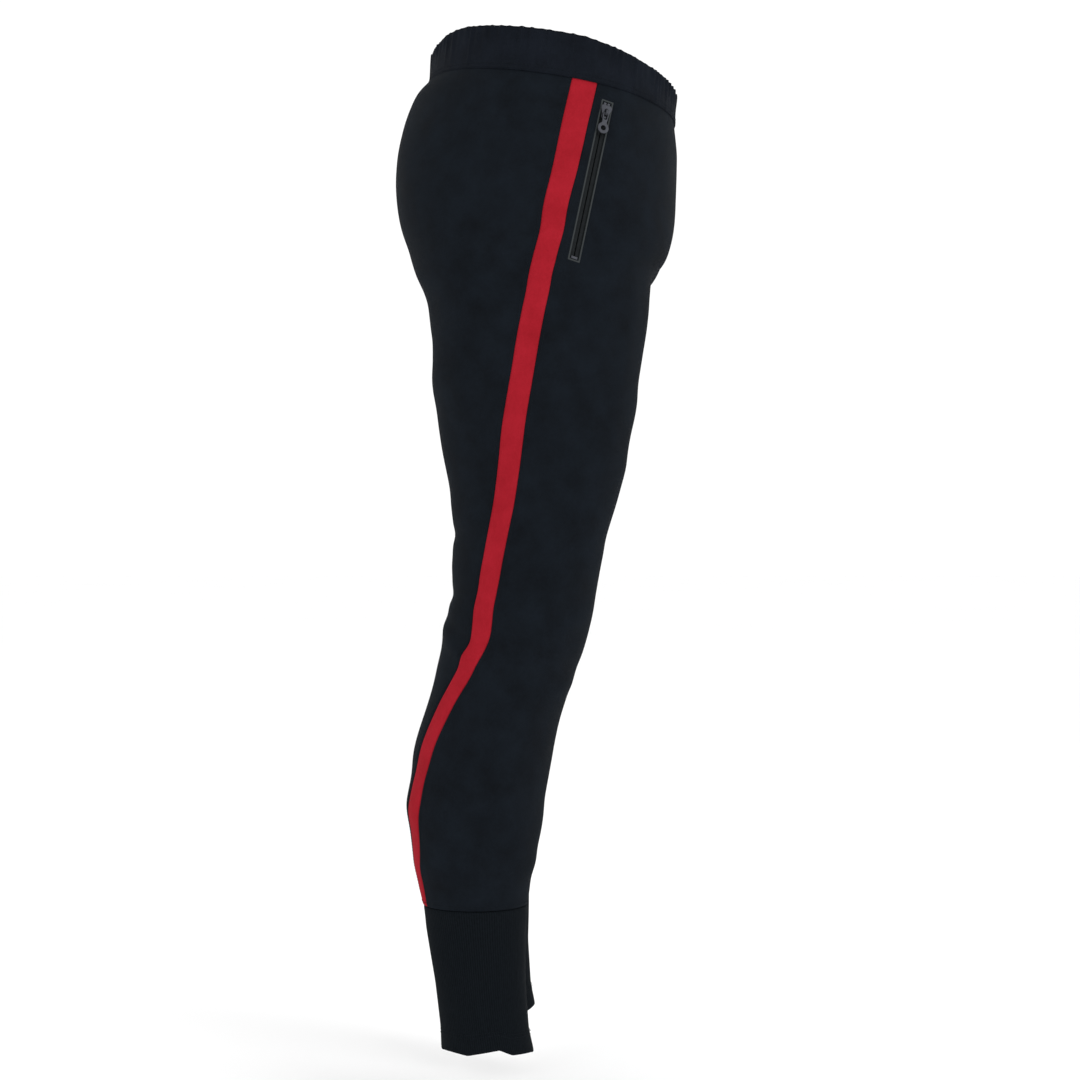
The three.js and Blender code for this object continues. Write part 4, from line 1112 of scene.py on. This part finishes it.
slider_node = (verts("right_zip_slider") - np.array(ZIP_TOP)) @ axes.T
pull_node = (verts("right_zip_pull") - np.array(ZIP_TOP)) @ axes.T
S0, S1 = float(slider_node[:, 1].min()), float(slider_node[:, 1].max())
N_LOW, N_HIGH = float(slider_node[:, 2].min()), float(slider_node[:, 2].max())
HEAD = float(slider_node[:, 0].max())
PIN_S = float(((np.array(PIN) - np.array(ZIP_TOP)) @ axes.T)[1])
PIN_N = float(((np.array(PIN) - np.array(ZIP_TOP)) @ axes.T)[2])
PULL_END = float(pull_node[:, 1].max())
RING_R = float(pull_node[:, 0].max())
RING_S = PULL_END - RING_R
print("slider", round((S1 - S0) * 1000, 1), "mm long,", round(2 * HEAD * 1000, 1), "wide; pin at",
      round(PIN_S * 1000, 1), round(PIN_N * 1000, 1), "; ring", round(RING_S * 1000, 1),
      round(RING_R * 1000, 1))

# %% Stops, slider and pull
CAP = 0.0004                        # the slider's top plate stands this far off the cloth
SLOPE_S = S0 + (S1 - S0) * 0.72
TAIL = HEAD * 0.64
for side in SIDES:
    clamps = merged(*[rounded_box(min(a, b), max(a, b), 0.0006, 0.0032, -0.0012, -0.0001, 0.00025)
                      for a, b in ((0.0004, 0.0032), (-0.0032, -0.0004))])
    zip_piece("zip_top_stop_clamps", *clamps, side, "garment", "zip_stop", ["zip_top_stop"])
    foot = rounded_box(-0.0033, 0.0033, ZIP_LONG - 0.0032, ZIP_LONG - 0.0006, -0.0012, -0.0001, 0.0003)
    zip_piece("zip_bottom_stop_box", *foot, side, "garment", "zip_stop", ["zip_bottom_stop"])

    shield = eased_outline([
        (-HEAD + 0.0022, S0), (0.0, S0 + 0.0001), (HEAD - 0.0022, S0), (HEAD - 0.0001, S0 + 0.0024),
        (TAIL + 0.0007, S0 + 0.0068), (TAIL, SLOPE_S), (TAIL - 0.0001, S1 - 0.0012), (TAIL - 0.0009, S1),
        (-TAIL + 0.0009, S1), (-TAIL + 0.0001, S1 - 0.0012), (-TAIL, SLOPE_S), (-TAIL - 0.0007, S0 + 0.0068),
        (-HEAD + 0.0001, S0 + 0.0024)])
    top = stamped([shield], CAP, CAP + 0.0015, 0.00042)
    bottom = rounded_box(-0.0047, 0.0047, S0 + 0.0005, S1 - 0.0005, N_LOW, N_LOW + 0.0012, 0.0003, 0.0014)
    keel = rounded_box(-0.0035, 0.0035, S0 + 0.0002, S1 - 0.0002, -0.0012, CAP + 0.0003, 0.0002, 0.0009)
    post = rounded_box(-0.00038, 0.00038, S0 + 0.0009, S0 + 0.0064, N_LOW + 0.001, -0.001, 0.0001, 0.0002)
    cheeks = [rounded_box(a, b, S0 + 0.0006, S1 - 0.0006, N_LOW + 0.0009, -0.0025, 0.0002)
              for a, b in ((0.0035, 0.0047), (-0.0047, -0.0035))]
    rise_to = N_HIGH - 0.00055
    foot_a, foot_b = PIN_S - 0.0043, PIN_S + 0.0017
    arch = []
    for a in np.linspace(math.pi, 0, 26):
        c, s_ = math.cos(a), math.sin(a)
        arch.append(np.array([0, (foot_a + foot_b) / 2 + (foot_b - foot_a) / 2
                              * math.copysign(abs(c) ** 0.55, c),
                              0.0014 + (rise_to - 0.0014) * abs(s_) ** 0.55]))
    arch = np.array(arch)
    along = np.gradient(arch, axis=0)
    along /= np.linalg.norm(along, axis=1, keepdims=True)
    arch_up = np.cross(np.array([1.0, 0, 0]), along)
    strap = [(0.0012 * sx * kx, 0.00052 * sy * ky) for sx, sy, kx, ky in (
        (1, 1, 1, 0.5), (1, 1, 0.8, 1), (-1, 1, 0.8, 1), (-1, 1, 1, 0.5),
        (-1, -1, 1, 0.5), (-1, -1, 0.8, 1), (1, -1, 0.8, 1), (1, -1, 1, 0.5))]
    bridge = swept(list(arch), [np.array([1.0, 0, 0])] * len(arch), list(arch_up), strap)
    body = merged(top, bottom, keel, post, *cheeks, bridge)
    zip_piece("zip_slider_cast", *body, side, f"{side}_slider", "zip_slider", ["zip_slider"])

    arm_in, arm_out = 0.0016, RING_R * 0.545
    neck = PIN_S + 0.0092
    ring_turns = np.linspace(-math.pi / 2 + 0.62, 1.5 * math.pi - 0.62, 40)
    outline = [(-arm_out + 0.0003, PIN_S - 0.0005), (-arm_out, PIN_S + 0.0002),
               (-arm_out + 0.0001, PIN_S + 0.0050), (-0.0025, neck - 0.0012), (-0.00245, neck)]
    loop = [(RING_R * math.cos(t), RING_S + RING_R * math.sin(t)) for t in ring_turns]
    outline = outline + loop[::-1] + [(-x, y) for x, y in outline[::-1]] \
        + [(arm_in, PIN_S - 0.0005), (arm_in, PIN_S + 0.0052), (0.0009, PIN_S + 0.0061),
           (-0.0009, PIN_S + 0.0061), (-arm_in, PIN_S + 0.0052), (-arm_in, PIN_S - 0.0005)]
    hole = [(0.0023 * math.cos(t), RING_S + 0.0023 * math.sin(t))
            for t in np.linspace(0, 2 * math.pi, 32, endpoint=False)]
    blade = stamped([outline, hole], PIN_N - 0.00068, PIN_N + 0.00068, 0.00032)
    rod_w = np.linspace(-arm_out + 0.0001, arm_out - 0.0001, 9)
    rod = swept([np.array([w, PIN_S, PIN_N]) for w in rod_w], [np.array([0, 1.0, 0])] * 9,
                [np.array([0, 0, 1.0])] * 9, circle_outline(0.00066, 14))
    zip_piece("zip_ring_pull", *merged(blade, rod), side, f"{side}_pull", "zip_pull", ["zip_pull"])
print("slider faces", len(made["right_zip_slider_cast"].data.polygons),
      "pull faces", len(made["right_zip_ring_pull"].data.polygons))

# %% [markdown]
# ## Topstitching
# The seams of sportswear are sewn flat with thread you can see: beside the stripe, round the pocket
# slot, along the waistband and the hem. Each stitch is a short bead of thread that dives into the
# cloth at both ends, set out one by one along the seam at its true pitch.

# %% Stitches along a line
def beads(path, outwards, pitch=0.0030, long=0.0021, radius=0.00028):
    path, outwards = np.asarray(path, float), np.asarray(outwards, float)
    arc = np.concatenate([[0], np.cumsum(np.linalg.norm(np.diff(path, axis=0), axis=1))])
    points, faces = [], []
    for centre in np.arange(pitch, arc[-1] - pitch, pitch):
        rings = []
        spots = centre + long * np.array([-0.5, -0.30, 0.0, 0.30, 0.5])
        base = np.stack([np.interp(spots, arc, path[:, k]) for k in range(3)], axis=1)
        lift = np.stack([np.interp(spots, arc, outwards[:, k]) for k in range(3)], axis=1)
        way = base[-1] - base[0]
        way /= np.linalg.norm(way)
        for p, n, h, r in zip(base, lift, (-0.00022, 0.00008, 0.00020, 0.00008, -0.00022),
                              (0.5, 0.95, 1.0, 0.95, 0.5)):
            n = n / np.linalg.norm(n)
            sideways = np.cross(way, n)
            start = len(points)
            for a in np.linspace(0, 2 * math.pi, 6, endpoint=False):
                points.append(p + n * (h + radius * r * math.sin(a)) + sideways * radius * r * math.cos(a))
            rings.append(list(range(start, start + 6)))
        for first, second in zip(rings, rings[1:]):
            for k in range(6):
                faces.append([first[k], second[k], second[(k + 1) % 6], first[(k + 1) % 6]])
        faces += [rings[0][::-1], rings[-1]]
    return points, faces


def joined_beads(runs):
    points, faces = [], []
    for run_points, run_faces in runs:
        start = len(points)
        points += run_points
        faces += [[v + start for v in f] for f in run_faces]
    return points, faces


def line_at(whole, facing, arc_of_row, first=1, last=None):
    """A line down the skin at a given distance round each level."""
    path, out = [], []
    for i in range(first, last or len(DROPS)):
        path.append([np.interp(arc_of_row[i], arcs[i], whole[i, :, k]) for k in range(3)])
        out.append([np.interp(arc_of_row[i], arcs[i], facing[i, :, k]) for k in range(3)])
    return path, out


a_of = np.array([level["a"] for level in levels])
b_of = np.array([level["b"] for level in levels])
for side in SIDES:
    whole = dressed(side)
    facing = normals_of(whole)
    runs = [beads(*line_at(whole, facing, a_of - 0.0034)), beads(*line_at(whole, facing, b_of + 0.0034))]
    ankle = int(np.searchsorted(DROPS, CUFF_TOP - 0.0045))
    share = (DROPS[ankle] - (CUFF_TOP - 0.0045)) / (DROPS[ankle] - DROPS[ankle - 1])
    keep = [j for j in range(whole.shape[1]) if 2 < j]
    ring_line = (whole[ankle] * (1 - share) + whole[ankle - 1] * share)[keep]
    runs.append(beads(ring_line, facing[ankle][keep], pitch=0.0032, long=0.0023))
    points, faces = joined_beads(runs)
    points = np.array(points)
    points = mirror(points) if side == "left" else points
    piece(f"{side}_seam_topstitch", points, [f[::-1] for f in faces] if side == "left" else faces)

    frame_line, m = [], SLOT_HALF + 0.0031
    for w, s_from, s_to in ((m, -0.0031, ZIP_LONG + 0.0031), (-m, ZIP_LONG + 0.0031, -0.0031)):
        frame_line += [(w, s, 0.0) for s in np.linspace(s_from, s_to, 90)]
    frame_line.append(frame_line[0])
    out_n = [OUT[:]] * len(frame_line)
    points, faces = beads([on_zip(*p)[:] for p in frame_line], out_n, pitch=0.0028, long=0.0019)
    points = mirror(np.array(points)) if side == "left" else np.array(points)
    piece(f"{side}_pocket_topstitch", points, [f[::-1] for f in faces] if side == "left" else faces)

    hem_row = int(np.argmin(np.abs(cuff_drops - (HEM - HEM_TURN + 0.003))))
    loop = np.vstack([cuff_outer[side][hem_row], cuff_outer[side][hem_row][:1]])
    out_c = np.vstack([cuff_out[hem_row], cuff_out[hem_row][:1]])
    runs = [beads(loop + out_c * (RIB / 2), out_c),
            beads(loop + out_c * (RIB / 2) + up * 0.0032, out_c)]
    points, faces = joined_beads(runs)
    points = mirror(np.array(points)) if side == "left" else np.array(points)
    piece(f"{side}_hem_topstitch", points, [f[::-1] for f in faces] if side == "left" else faces)

runs = []
outer_wall = casing[:len(walls)][::-1]
for drop in (0.0338, 0.0371):
    k = int(np.searchsorted(walls, drop))
    t = (drop - walls[k - 1]) / (walls[k] - walls[k - 1])
    line = outer_wall[k - 1] * (1 - t) + outer_wall[k] * t
    n = wall_out[k]
    line, n = np.vstack([line, line[:1]]), np.vstack([n, n[:1]])
    runs.append(beads(line + n * (CLOTH / 2), n, pitch=0.0032, long=0.0023))
points, faces = joined_beads(runs)
piece("waistband_topstitch", points, faces)
print("stitches on the waistband:", len(points) // 30)


# %% [markdown]
# ## Finishes
# Matt cloth is all about how little it reflects: a very dark base, high roughness, and a faint
# sheen from the fuzz of fibre that lifts the edges turned away from the light. The stitches of the
# knit are drawn from the piece's own map in metres, so their scale is true.

# %% Colour and node helpers
def from_hex(text):
    """sRGB hex to the linear values a shader socket takes."""
    out = []
    for k in (0, 2, 4):
        c = int(text[k:k + 2], 16) / 255
        out.append(c / 12.92 if c <= 0.04045 else ((c + 0.055) / 1.055) ** 2.4)
    return (*out, 1.0)


def node(tree, kind, settings=None, **inputs):
    """Add a node, set its properties and its inputs; an input may be a value or another output."""
    made_node = tree.nodes.new(kind)
    for key, value in (settings or {}).items():
        setattr(made_node, key, value)
    for key, value in inputs.items():
        socket = made_node.inputs[int(key[1:]) if key[0] == "i" and key[1:].isdigit() else
                                  key.replace("_", " ")]
        if isinstance(value, bpy.types.NodeSocket):
            tree.links.new(value, socket)
        else:
            socket.default_value = value
    return made_node


def material(name):
    mat = bpy.data.materials.new(name)
    mat.use_nodes = True
    return mat, mat.node_tree, mat.node_tree.nodes["Principled BSDF"]


def set_values(shader, **values):
    for key, value in values.items():
        shader.inputs[key.replace("_", " ")].default_value = value


def blended(tree, factor, low, high):
    mix = node(tree, "ShaderNodeMix", {"data_type": "RGBA"})
    tree.links.new(factor, mix.inputs[0])
    mix.inputs[6].default_value, mix.inputs[7].default_value = low, high
    return mix.outputs[2]


# %% Knitted cloth
# Polyester double knit, brushed inside and smooth outside. Wales, the upright columns of stitches,
# stand 0.95 mm apart and courses 0.8 mm, too fine to show except close to.
def knit(name, dark, light, fuzz, wale=0.95, course=0.80, depth=0.5, rough=0.88, fibre=0.3):
    mat, tree, shader = material(name)
    where = node(tree, "ShaderNodeUVMap", {"uv_map": "cloth"}).outputs[0]
    split = node(tree, "ShaderNodeSeparateXYZ", Vector=where)
    tall = node(tree, "ShaderNodeMath", {"operation": "MULTIPLY"}, i0=split.outputs[0],
                i1=2 * math.pi / (wale * MM)).outputs[0]
    ribs = node(tree, "ShaderNodeMath", {"operation": "COSINE"}, i0=tall).outputs[0]
    lean = node(tree, "ShaderNodeMath", {"operation": "ABSOLUTE"}, i0=ribs).outputs[0]
    low = node(tree, "ShaderNodeMath", {"operation": "MULTIPLY_ADD"}, i0=split.outputs[1],
               i1=2 * math.pi / (course * MM), i2=0.0).outputs[0]
    bent = node(tree, "ShaderNodeMath", {"operation": "MULTIPLY_ADD"}, i0=lean, i1=1.9, i2=low).outputs[0]
    loops = node(tree, "ShaderNodeMath", {"operation": "SINE"}, i0=bent).outputs[0]
    height = node(tree, "ShaderNodeMath", {"operation": "MULTIPLY_ADD"}, i0=loops, i1=0.35,
                  i2=lean).outputs[0]
    place = node(tree, "ShaderNodeTexCoord").outputs["Object"]
    fuzzy = node(tree, "ShaderNodeTexNoise", Vector=place, Scale=420.0, Detail=4.0, Roughness=0.65)
    broad = node(tree, "ShaderNodeTexNoise", Vector=place, Scale=38.0, Detail=3.0, Roughness=0.6)
    mixed = node(tree, "ShaderNodeMath", {"operation": "MULTIPLY_ADD"}, i0=fuzzy.outputs[0], i1=0.45,
                 i2=broad.outputs[0]).outputs[0]
    # painted shade: the loop height lifts the colour on the raised loops and darkens it in the hollows
    # between them, on top of the random tone of the fibre noise
    tone_and_painted_shade = node(tree, "ShaderNodeMath", {"operation": "MULTIPLY_ADD"}, i0=height, i1=0.10,
                i2=mixed).outputs[0]
    ramp = node(tree, "ShaderNodeMapRange", i0=tone_and_painted_shade, i1=0.45, i2=1.05, i3=0.0, i4=1.0).outputs[0]
    tree.links.new(blended(tree, ramp, from_hex(dark), from_hex(light)), shader.inputs["Base Color"])
    roughly = node(tree, "ShaderNodeMapRange", i0=broad.outputs[0], i1=0.3, i2=0.7, i3=rough - 0.05,
                   i4=min(rough + 0.05, 1.0)).outputs[0]
    tree.links.new(roughly, shader.inputs["Roughness"])
    stitch = node(tree, "ShaderNodeBump", Strength=depth, Distance=0.00022, Height=height)
    nap = node(tree, "ShaderNodeBump", Strength=fibre, Distance=0.0003, Height=fuzzy.outputs[0],
               Normal=stitch.outputs[0])
    tree.links.new(nap.outputs[0], shader.inputs["Normal"])
    set_values(shader, IOR=1.46, Specular_IOR_Level=0.05, Sheen_Weight=0.03, Sheen_Roughness=0.45,
               Sheen_Tint=from_hex(fuzz))
    return mat


# %% Ribs, ribbon, coil, satin
# Rib knit of polyester with elastane: ridges 2.2 mm apart run up the leg and close the ankle.
def rib_knit(name, dark, light, pitch=2.2):
    mat, tree, shader = material(name)
    where = node(tree, "ShaderNodeUVMap", {"uv_map": "cloth"}).outputs[0]
    split = node(tree, "ShaderNodeSeparateXYZ", Vector=where)
    across = node(tree, "ShaderNodeMath", {"operation": "MULTIPLY"}, i0=split.outputs[0],
                  i1=2 * math.pi / (pitch * MM)).outputs[0]
    ridge = node(tree, "ShaderNodeMath", {"operation": "COSINE"}, i0=across).outputs[0]
    round_top = node(tree, "ShaderNodeMapRange", {"interpolation_type": "SMOOTHERSTEP"}, i0=ridge,
                     i1=-1.0, i2=0.6, i3=0.0, i4=1.0).outputs[0]
    down = node(tree, "ShaderNodeMath", {"operation": "MULTIPLY"}, i0=split.outputs[1],
                i1=2 * math.pi / (0.9 * MM)).outputs[0]
    course = node(tree, "ShaderNodeMath", {"operation": "SINE"}, i0=down).outputs[0]
    height = node(tree, "ShaderNodeMath", {"operation": "MULTIPLY_ADD"}, i0=course, i1=0.12,
                  i2=round_top).outputs[0]
    place = node(tree, "ShaderNodeTexCoord").outputs["Object"]
    fuzzy = node(tree, "ShaderNodeTexNoise", Vector=place, Scale=380.0, Detail=4.0, Roughness=0.65)
    # painted shade: the rib tops are coloured lighter and the valleys between the ribs darker, on top of the
    # random fibre tone
    tone_and_painted_shade = node(tree, "ShaderNodeMath", {"operation": "MULTIPLY_ADD"}, i0=round_top, i1=0.35,
                i2=fuzzy.outputs[0]).outputs[0]
    ramp = node(tree, "ShaderNodeMapRange", i0=tone_and_painted_shade, i1=0.3, i2=1.0, i3=0.0, i4=1.0).outputs[0]
    tree.links.new(blended(tree, ramp, from_hex(dark), from_hex(light)), shader.inputs["Base Color"])
    bump = node(tree, "ShaderNodeBump", Strength=0.55, Distance=0.0005, Height=height)
    nap = node(tree, "ShaderNodeBump", Strength=0.25, Distance=0.0003, Height=fuzzy.outputs[0],
               Normal=bump.outputs[0])
    tree.links.new(nap.outputs[0], shader.inputs["Normal"])
    set_values(shader, IOR=1.46, Roughness=0.92, Specular_IOR_Level=0.04, Sheen_Weight=0.02,
               Sheen_Roughness=0.5, Sheen_Tint=from_hex("5A646C"))
    return mat


# Woven narrow fabrics: zip tape, waist elastic and satin label share a plain weave.
def woven(name, dark, light, thread, rough, depth=0.5, sheen=0.1, shine=0.35):
    mat, tree, shader = material(name)
    where = node(tree, "ShaderNodeUVMap", {"uv_map": "cloth"}).outputs[0]
    split = node(tree, "ShaderNodeSeparateXYZ", Vector=where)
    waves = []
    for k in (0, 1):
        scaled = node(tree, "ShaderNodeMath", {"operation": "MULTIPLY"}, i0=split.outputs[k],
                      i1=math.pi / (thread * MM)).outputs[0]
        waves.append(node(tree, "ShaderNodeMath", {"operation": "SINE"}, i0=scaled).outputs[0])
    weave = node(tree, "ShaderNodeMath", {"operation": "MULTIPLY"}, i0=waves[0], i1=waves[1]).outputs[0]
    place = node(tree, "ShaderNodeTexCoord").outputs["Object"]
    grain = node(tree, "ShaderNodeTexNoise", Vector=place, Scale=300.0, Detail=3.0)
    # painted shade and highlight: the raised crossings of the weave are coloured lighter and the dips
    # darker, on top of the random grain
    tone_and_painted_shade = node(tree, "ShaderNodeMath", {"operation": "MULTIPLY_ADD"}, i0=weave, i1=0.3,
                i2=grain.outputs[0]).outputs[0]
    tree.links.new(blended(tree, tone_and_painted_shade, from_hex(dark), from_hex(light)), shader.inputs["Base Color"])
    bump = node(tree, "ShaderNodeBump", Strength=depth, Distance=0.0002, Height=weave)
    tree.links.new(bump.outputs[0], shader.inputs["Normal"])
    set_values(shader, IOR=1.5, Roughness=rough, Specular_IOR_Level=shine, Sheen_Weight=sheen)
    return mat


# Moulded or drawn plastic and plated metal: fine handling marks only change the gloss.
def hard(name, dark, light, rough, metallic=0.0, grain=260.0, depth=0.12, ior=1.5, shine=0.5):
    mat, tree, shader = material(name)
    place = node(tree, "ShaderNodeTexCoord").outputs["Object"]
    cloud = node(tree, "ShaderNodeTexNoise", Vector=place, Scale=grain, Detail=4.0, Roughness=0.6)
    tree.links.new(blended(tree, cloud.outputs[0], from_hex(dark), from_hex(light)),
                   shader.inputs["Base Color"])
    gloss = node(tree, "ShaderNodeMapRange", i0=cloud.outputs[0], i1=0.3, i2=0.7, i3=rough - 0.08,
                 i4=rough + 0.08).outputs[0]
    tree.links.new(gloss, shader.inputs["Roughness"])
    bump = node(tree, "ShaderNodeBump", Strength=depth, Distance=0.00015, Height=cloud.outputs[0])
    tree.links.new(bump.outputs[0], shader.inputs["Normal"])
    set_values(shader, Metallic=metallic)
    if metallic < 0.5:
        set_values(shader, IOR=ior, Specular_IOR_Level=shine)
    return mat


navy_double_knit = knit("navy_double_knit", "0A0D11", "13181E", "3C464E")
navy_band_knit = knit("navy_band_knit", "0A0D12", "14181F", "3C454E")
red_double_knit = knit("red_double_knit", "82121C", "961B27", "6A2A30", depth=0.45)
navy_rib_knit = rib_knit("navy_rib_knit", "080B0E", "101418")
brushed_lining = knit("warp_knit_lining", "15191D", "23282D", "8C979F", wale=1.6, course=1.6, depth=0.8)
woven_elastic = woven("woven_elastic", "B9B6AE", "DEDBD3", 0.9, 0.82)
zip_tape_weave = woven("zip_tape_weave", "0C0F11", "171B1D", 0.45, 0.8, sheen=0.03, shine=0.12)
satin_label = woven("satin_label", "CFCCC6", "E9E7E2", 0.22, 0.5, depth=0.15, shine=0.5)
# the folded lip of the slot is coloured a lighter grey than the cloth round it: a painted highlight along
# both edges of the zip slot
bonded_edge_painted_highlight = hard("bonded_slot_edge_painted_highlight", "1A1E20", "2A2F30", 0.6, grain=900.0, depth=0.3, shine=0.2)
nylon_coil = hard("drawn_nylon_coil", "0E1012", "191C1E", 0.42, grain=150.0)
dark_zinc = hard("black_plated_zinc_casting", "222328", "34363C", 0.42, metallic=0.75, grain=420.0)
polyester_thread = hard("polyester_thread", "0D1114", "161B20", 0.8, grain=900.0, depth=0.3, shine=0.06)

FINISH = (("front_panel_cloth", navy_double_knit), ("back_panel_cloth", navy_double_knit),
          ("side_stripe_cloth", red_double_knit), ("waistband_gathered", navy_band_knit),
          ("waist_elastic", woven_elastic), ("care_label", satin_label), ("ankle_rib", navy_rib_knit),
          ("pocket_bag", brushed_lining), ("zip_tape", zip_tape_weave), ("zip_coil", nylon_coil),
          ("zip_slot_edge", bonded_edge_painted_highlight), ("_stop_", dark_zinc), ("slider_cast", dark_zinc),
          ("ring_pull", dark_zinc), ("topstitch", polyester_thread))
for name, obj in made.items():
    chosen = [mat for part, mat in FINISH if part in name]
    obj.data.materials.clear()
    obj.data.materials.append(chosen[0])
print(len(made), "pieces with", len({o.data.materials[0].name for o in made.values()}), "finishes")

# %% [markdown]
# ## Floor, light and camera
# The garment stands clear on a plain pale floor under an even sky, lit by two large soft panels, so
# the dark cloth shows its folds with no hard shadow and no horizon shows from any side.

# %% The floor
FOOT_ROOM = 0.060          # the legs hang as worn, clear of the floor by the height of a foot
hems = [v.co.z for side in SIDES for v in made[f"{side}_ankle_rib"].data.vertices]
floor_z = min(hems) - FOOT_ROOM
HALF, PARTS = 30.0, 12
edge = np.linspace(-HALF, HALF, PARTS + 1)
mesh = bpy.data.meshes.new("pale_floor")
mesh.from_pydata([(x, y, floor_z) for y in edge for x in edge], [],
                 grid_faces(PARTS + 1, PARTS + 1, flip=True))
floor = bpy.data.objects.new("pale_floor", mesh)
bpy.context.scene.collection.objects.link(floor)
paper, paper_tree, paper_shader = material("matt_white_paper")
paper_noise = node(paper_tree, "ShaderNodeTexNoise", Scale=60.0, Detail=3.0)
paper_tree.links.new(blended(paper_tree, paper_noise.outputs[0], from_hex("F8F8F8"), from_hex("FCFCFC")),
                     paper_shader.inputs["Base Color"])
set_values(paper_shader, Roughness=0.9, Specular_IOR_Level=0.2)
floor.data.materials.append(paper)


# %% Soft light
def soft_panel(name, place, aim, size, power):
    lamp = bpy.data.lights.new(name, "AREA")
    lamp.shape, lamp.size, lamp.size_y, lamp.energy = "RECTANGLE", size[0], size[1], power
    holder = bpy.data.objects.new(name, lamp)
    holder.location = place
    holder.rotation_euler = (Vector(aim) - Vector(place)).to_track_quat("-Z", "Y").to_euler()
    bpy.context.scene.collection.objects.link(holder)


PANEL_SIZE, KEY_WATTS, FILL_WATTS, SKY_STRENGTH = (1.6, 2.0), 30, 14, 1.05
soft_panel("key_panel", (-1.7, -1.8, 0.9), (0, 0, -0.4), PANEL_SIZE, KEY_WATTS)
soft_panel("fill_panel", (-1.9, 1.9, 0.2), (0, 0, -0.5), PANEL_SIZE, FILL_WATTS)
sky = bpy.data.worlds.new("even_sky")
bpy.context.scene.world = sky
sky.use_nodes = True
sky.node_tree.nodes["Background"].inputs[0].default_value = (1.0, 1.0, 1.0, 1.0)
sky.node_tree.nodes["Background"].inputs[1].default_value = SKY_STRENGTH

# %% Camera on the wearer's right
lens = bpy.data.cameras.new("side_camera")
lens.lens, lens.sensor_width = 70.0, 36.0
viewer = bpy.data.objects.new("side_camera", lens)
viewer.location = (-2.1, 0.015, -0.469)
viewer.rotation_euler = (math.pi / 2, 0, -math.pi / 2)
bpy.context.scene.collection.objects.link(viewer)
bpy.context.scene.camera = viewer
bpy.context.scene.view_settings.view_transform = "Standard"
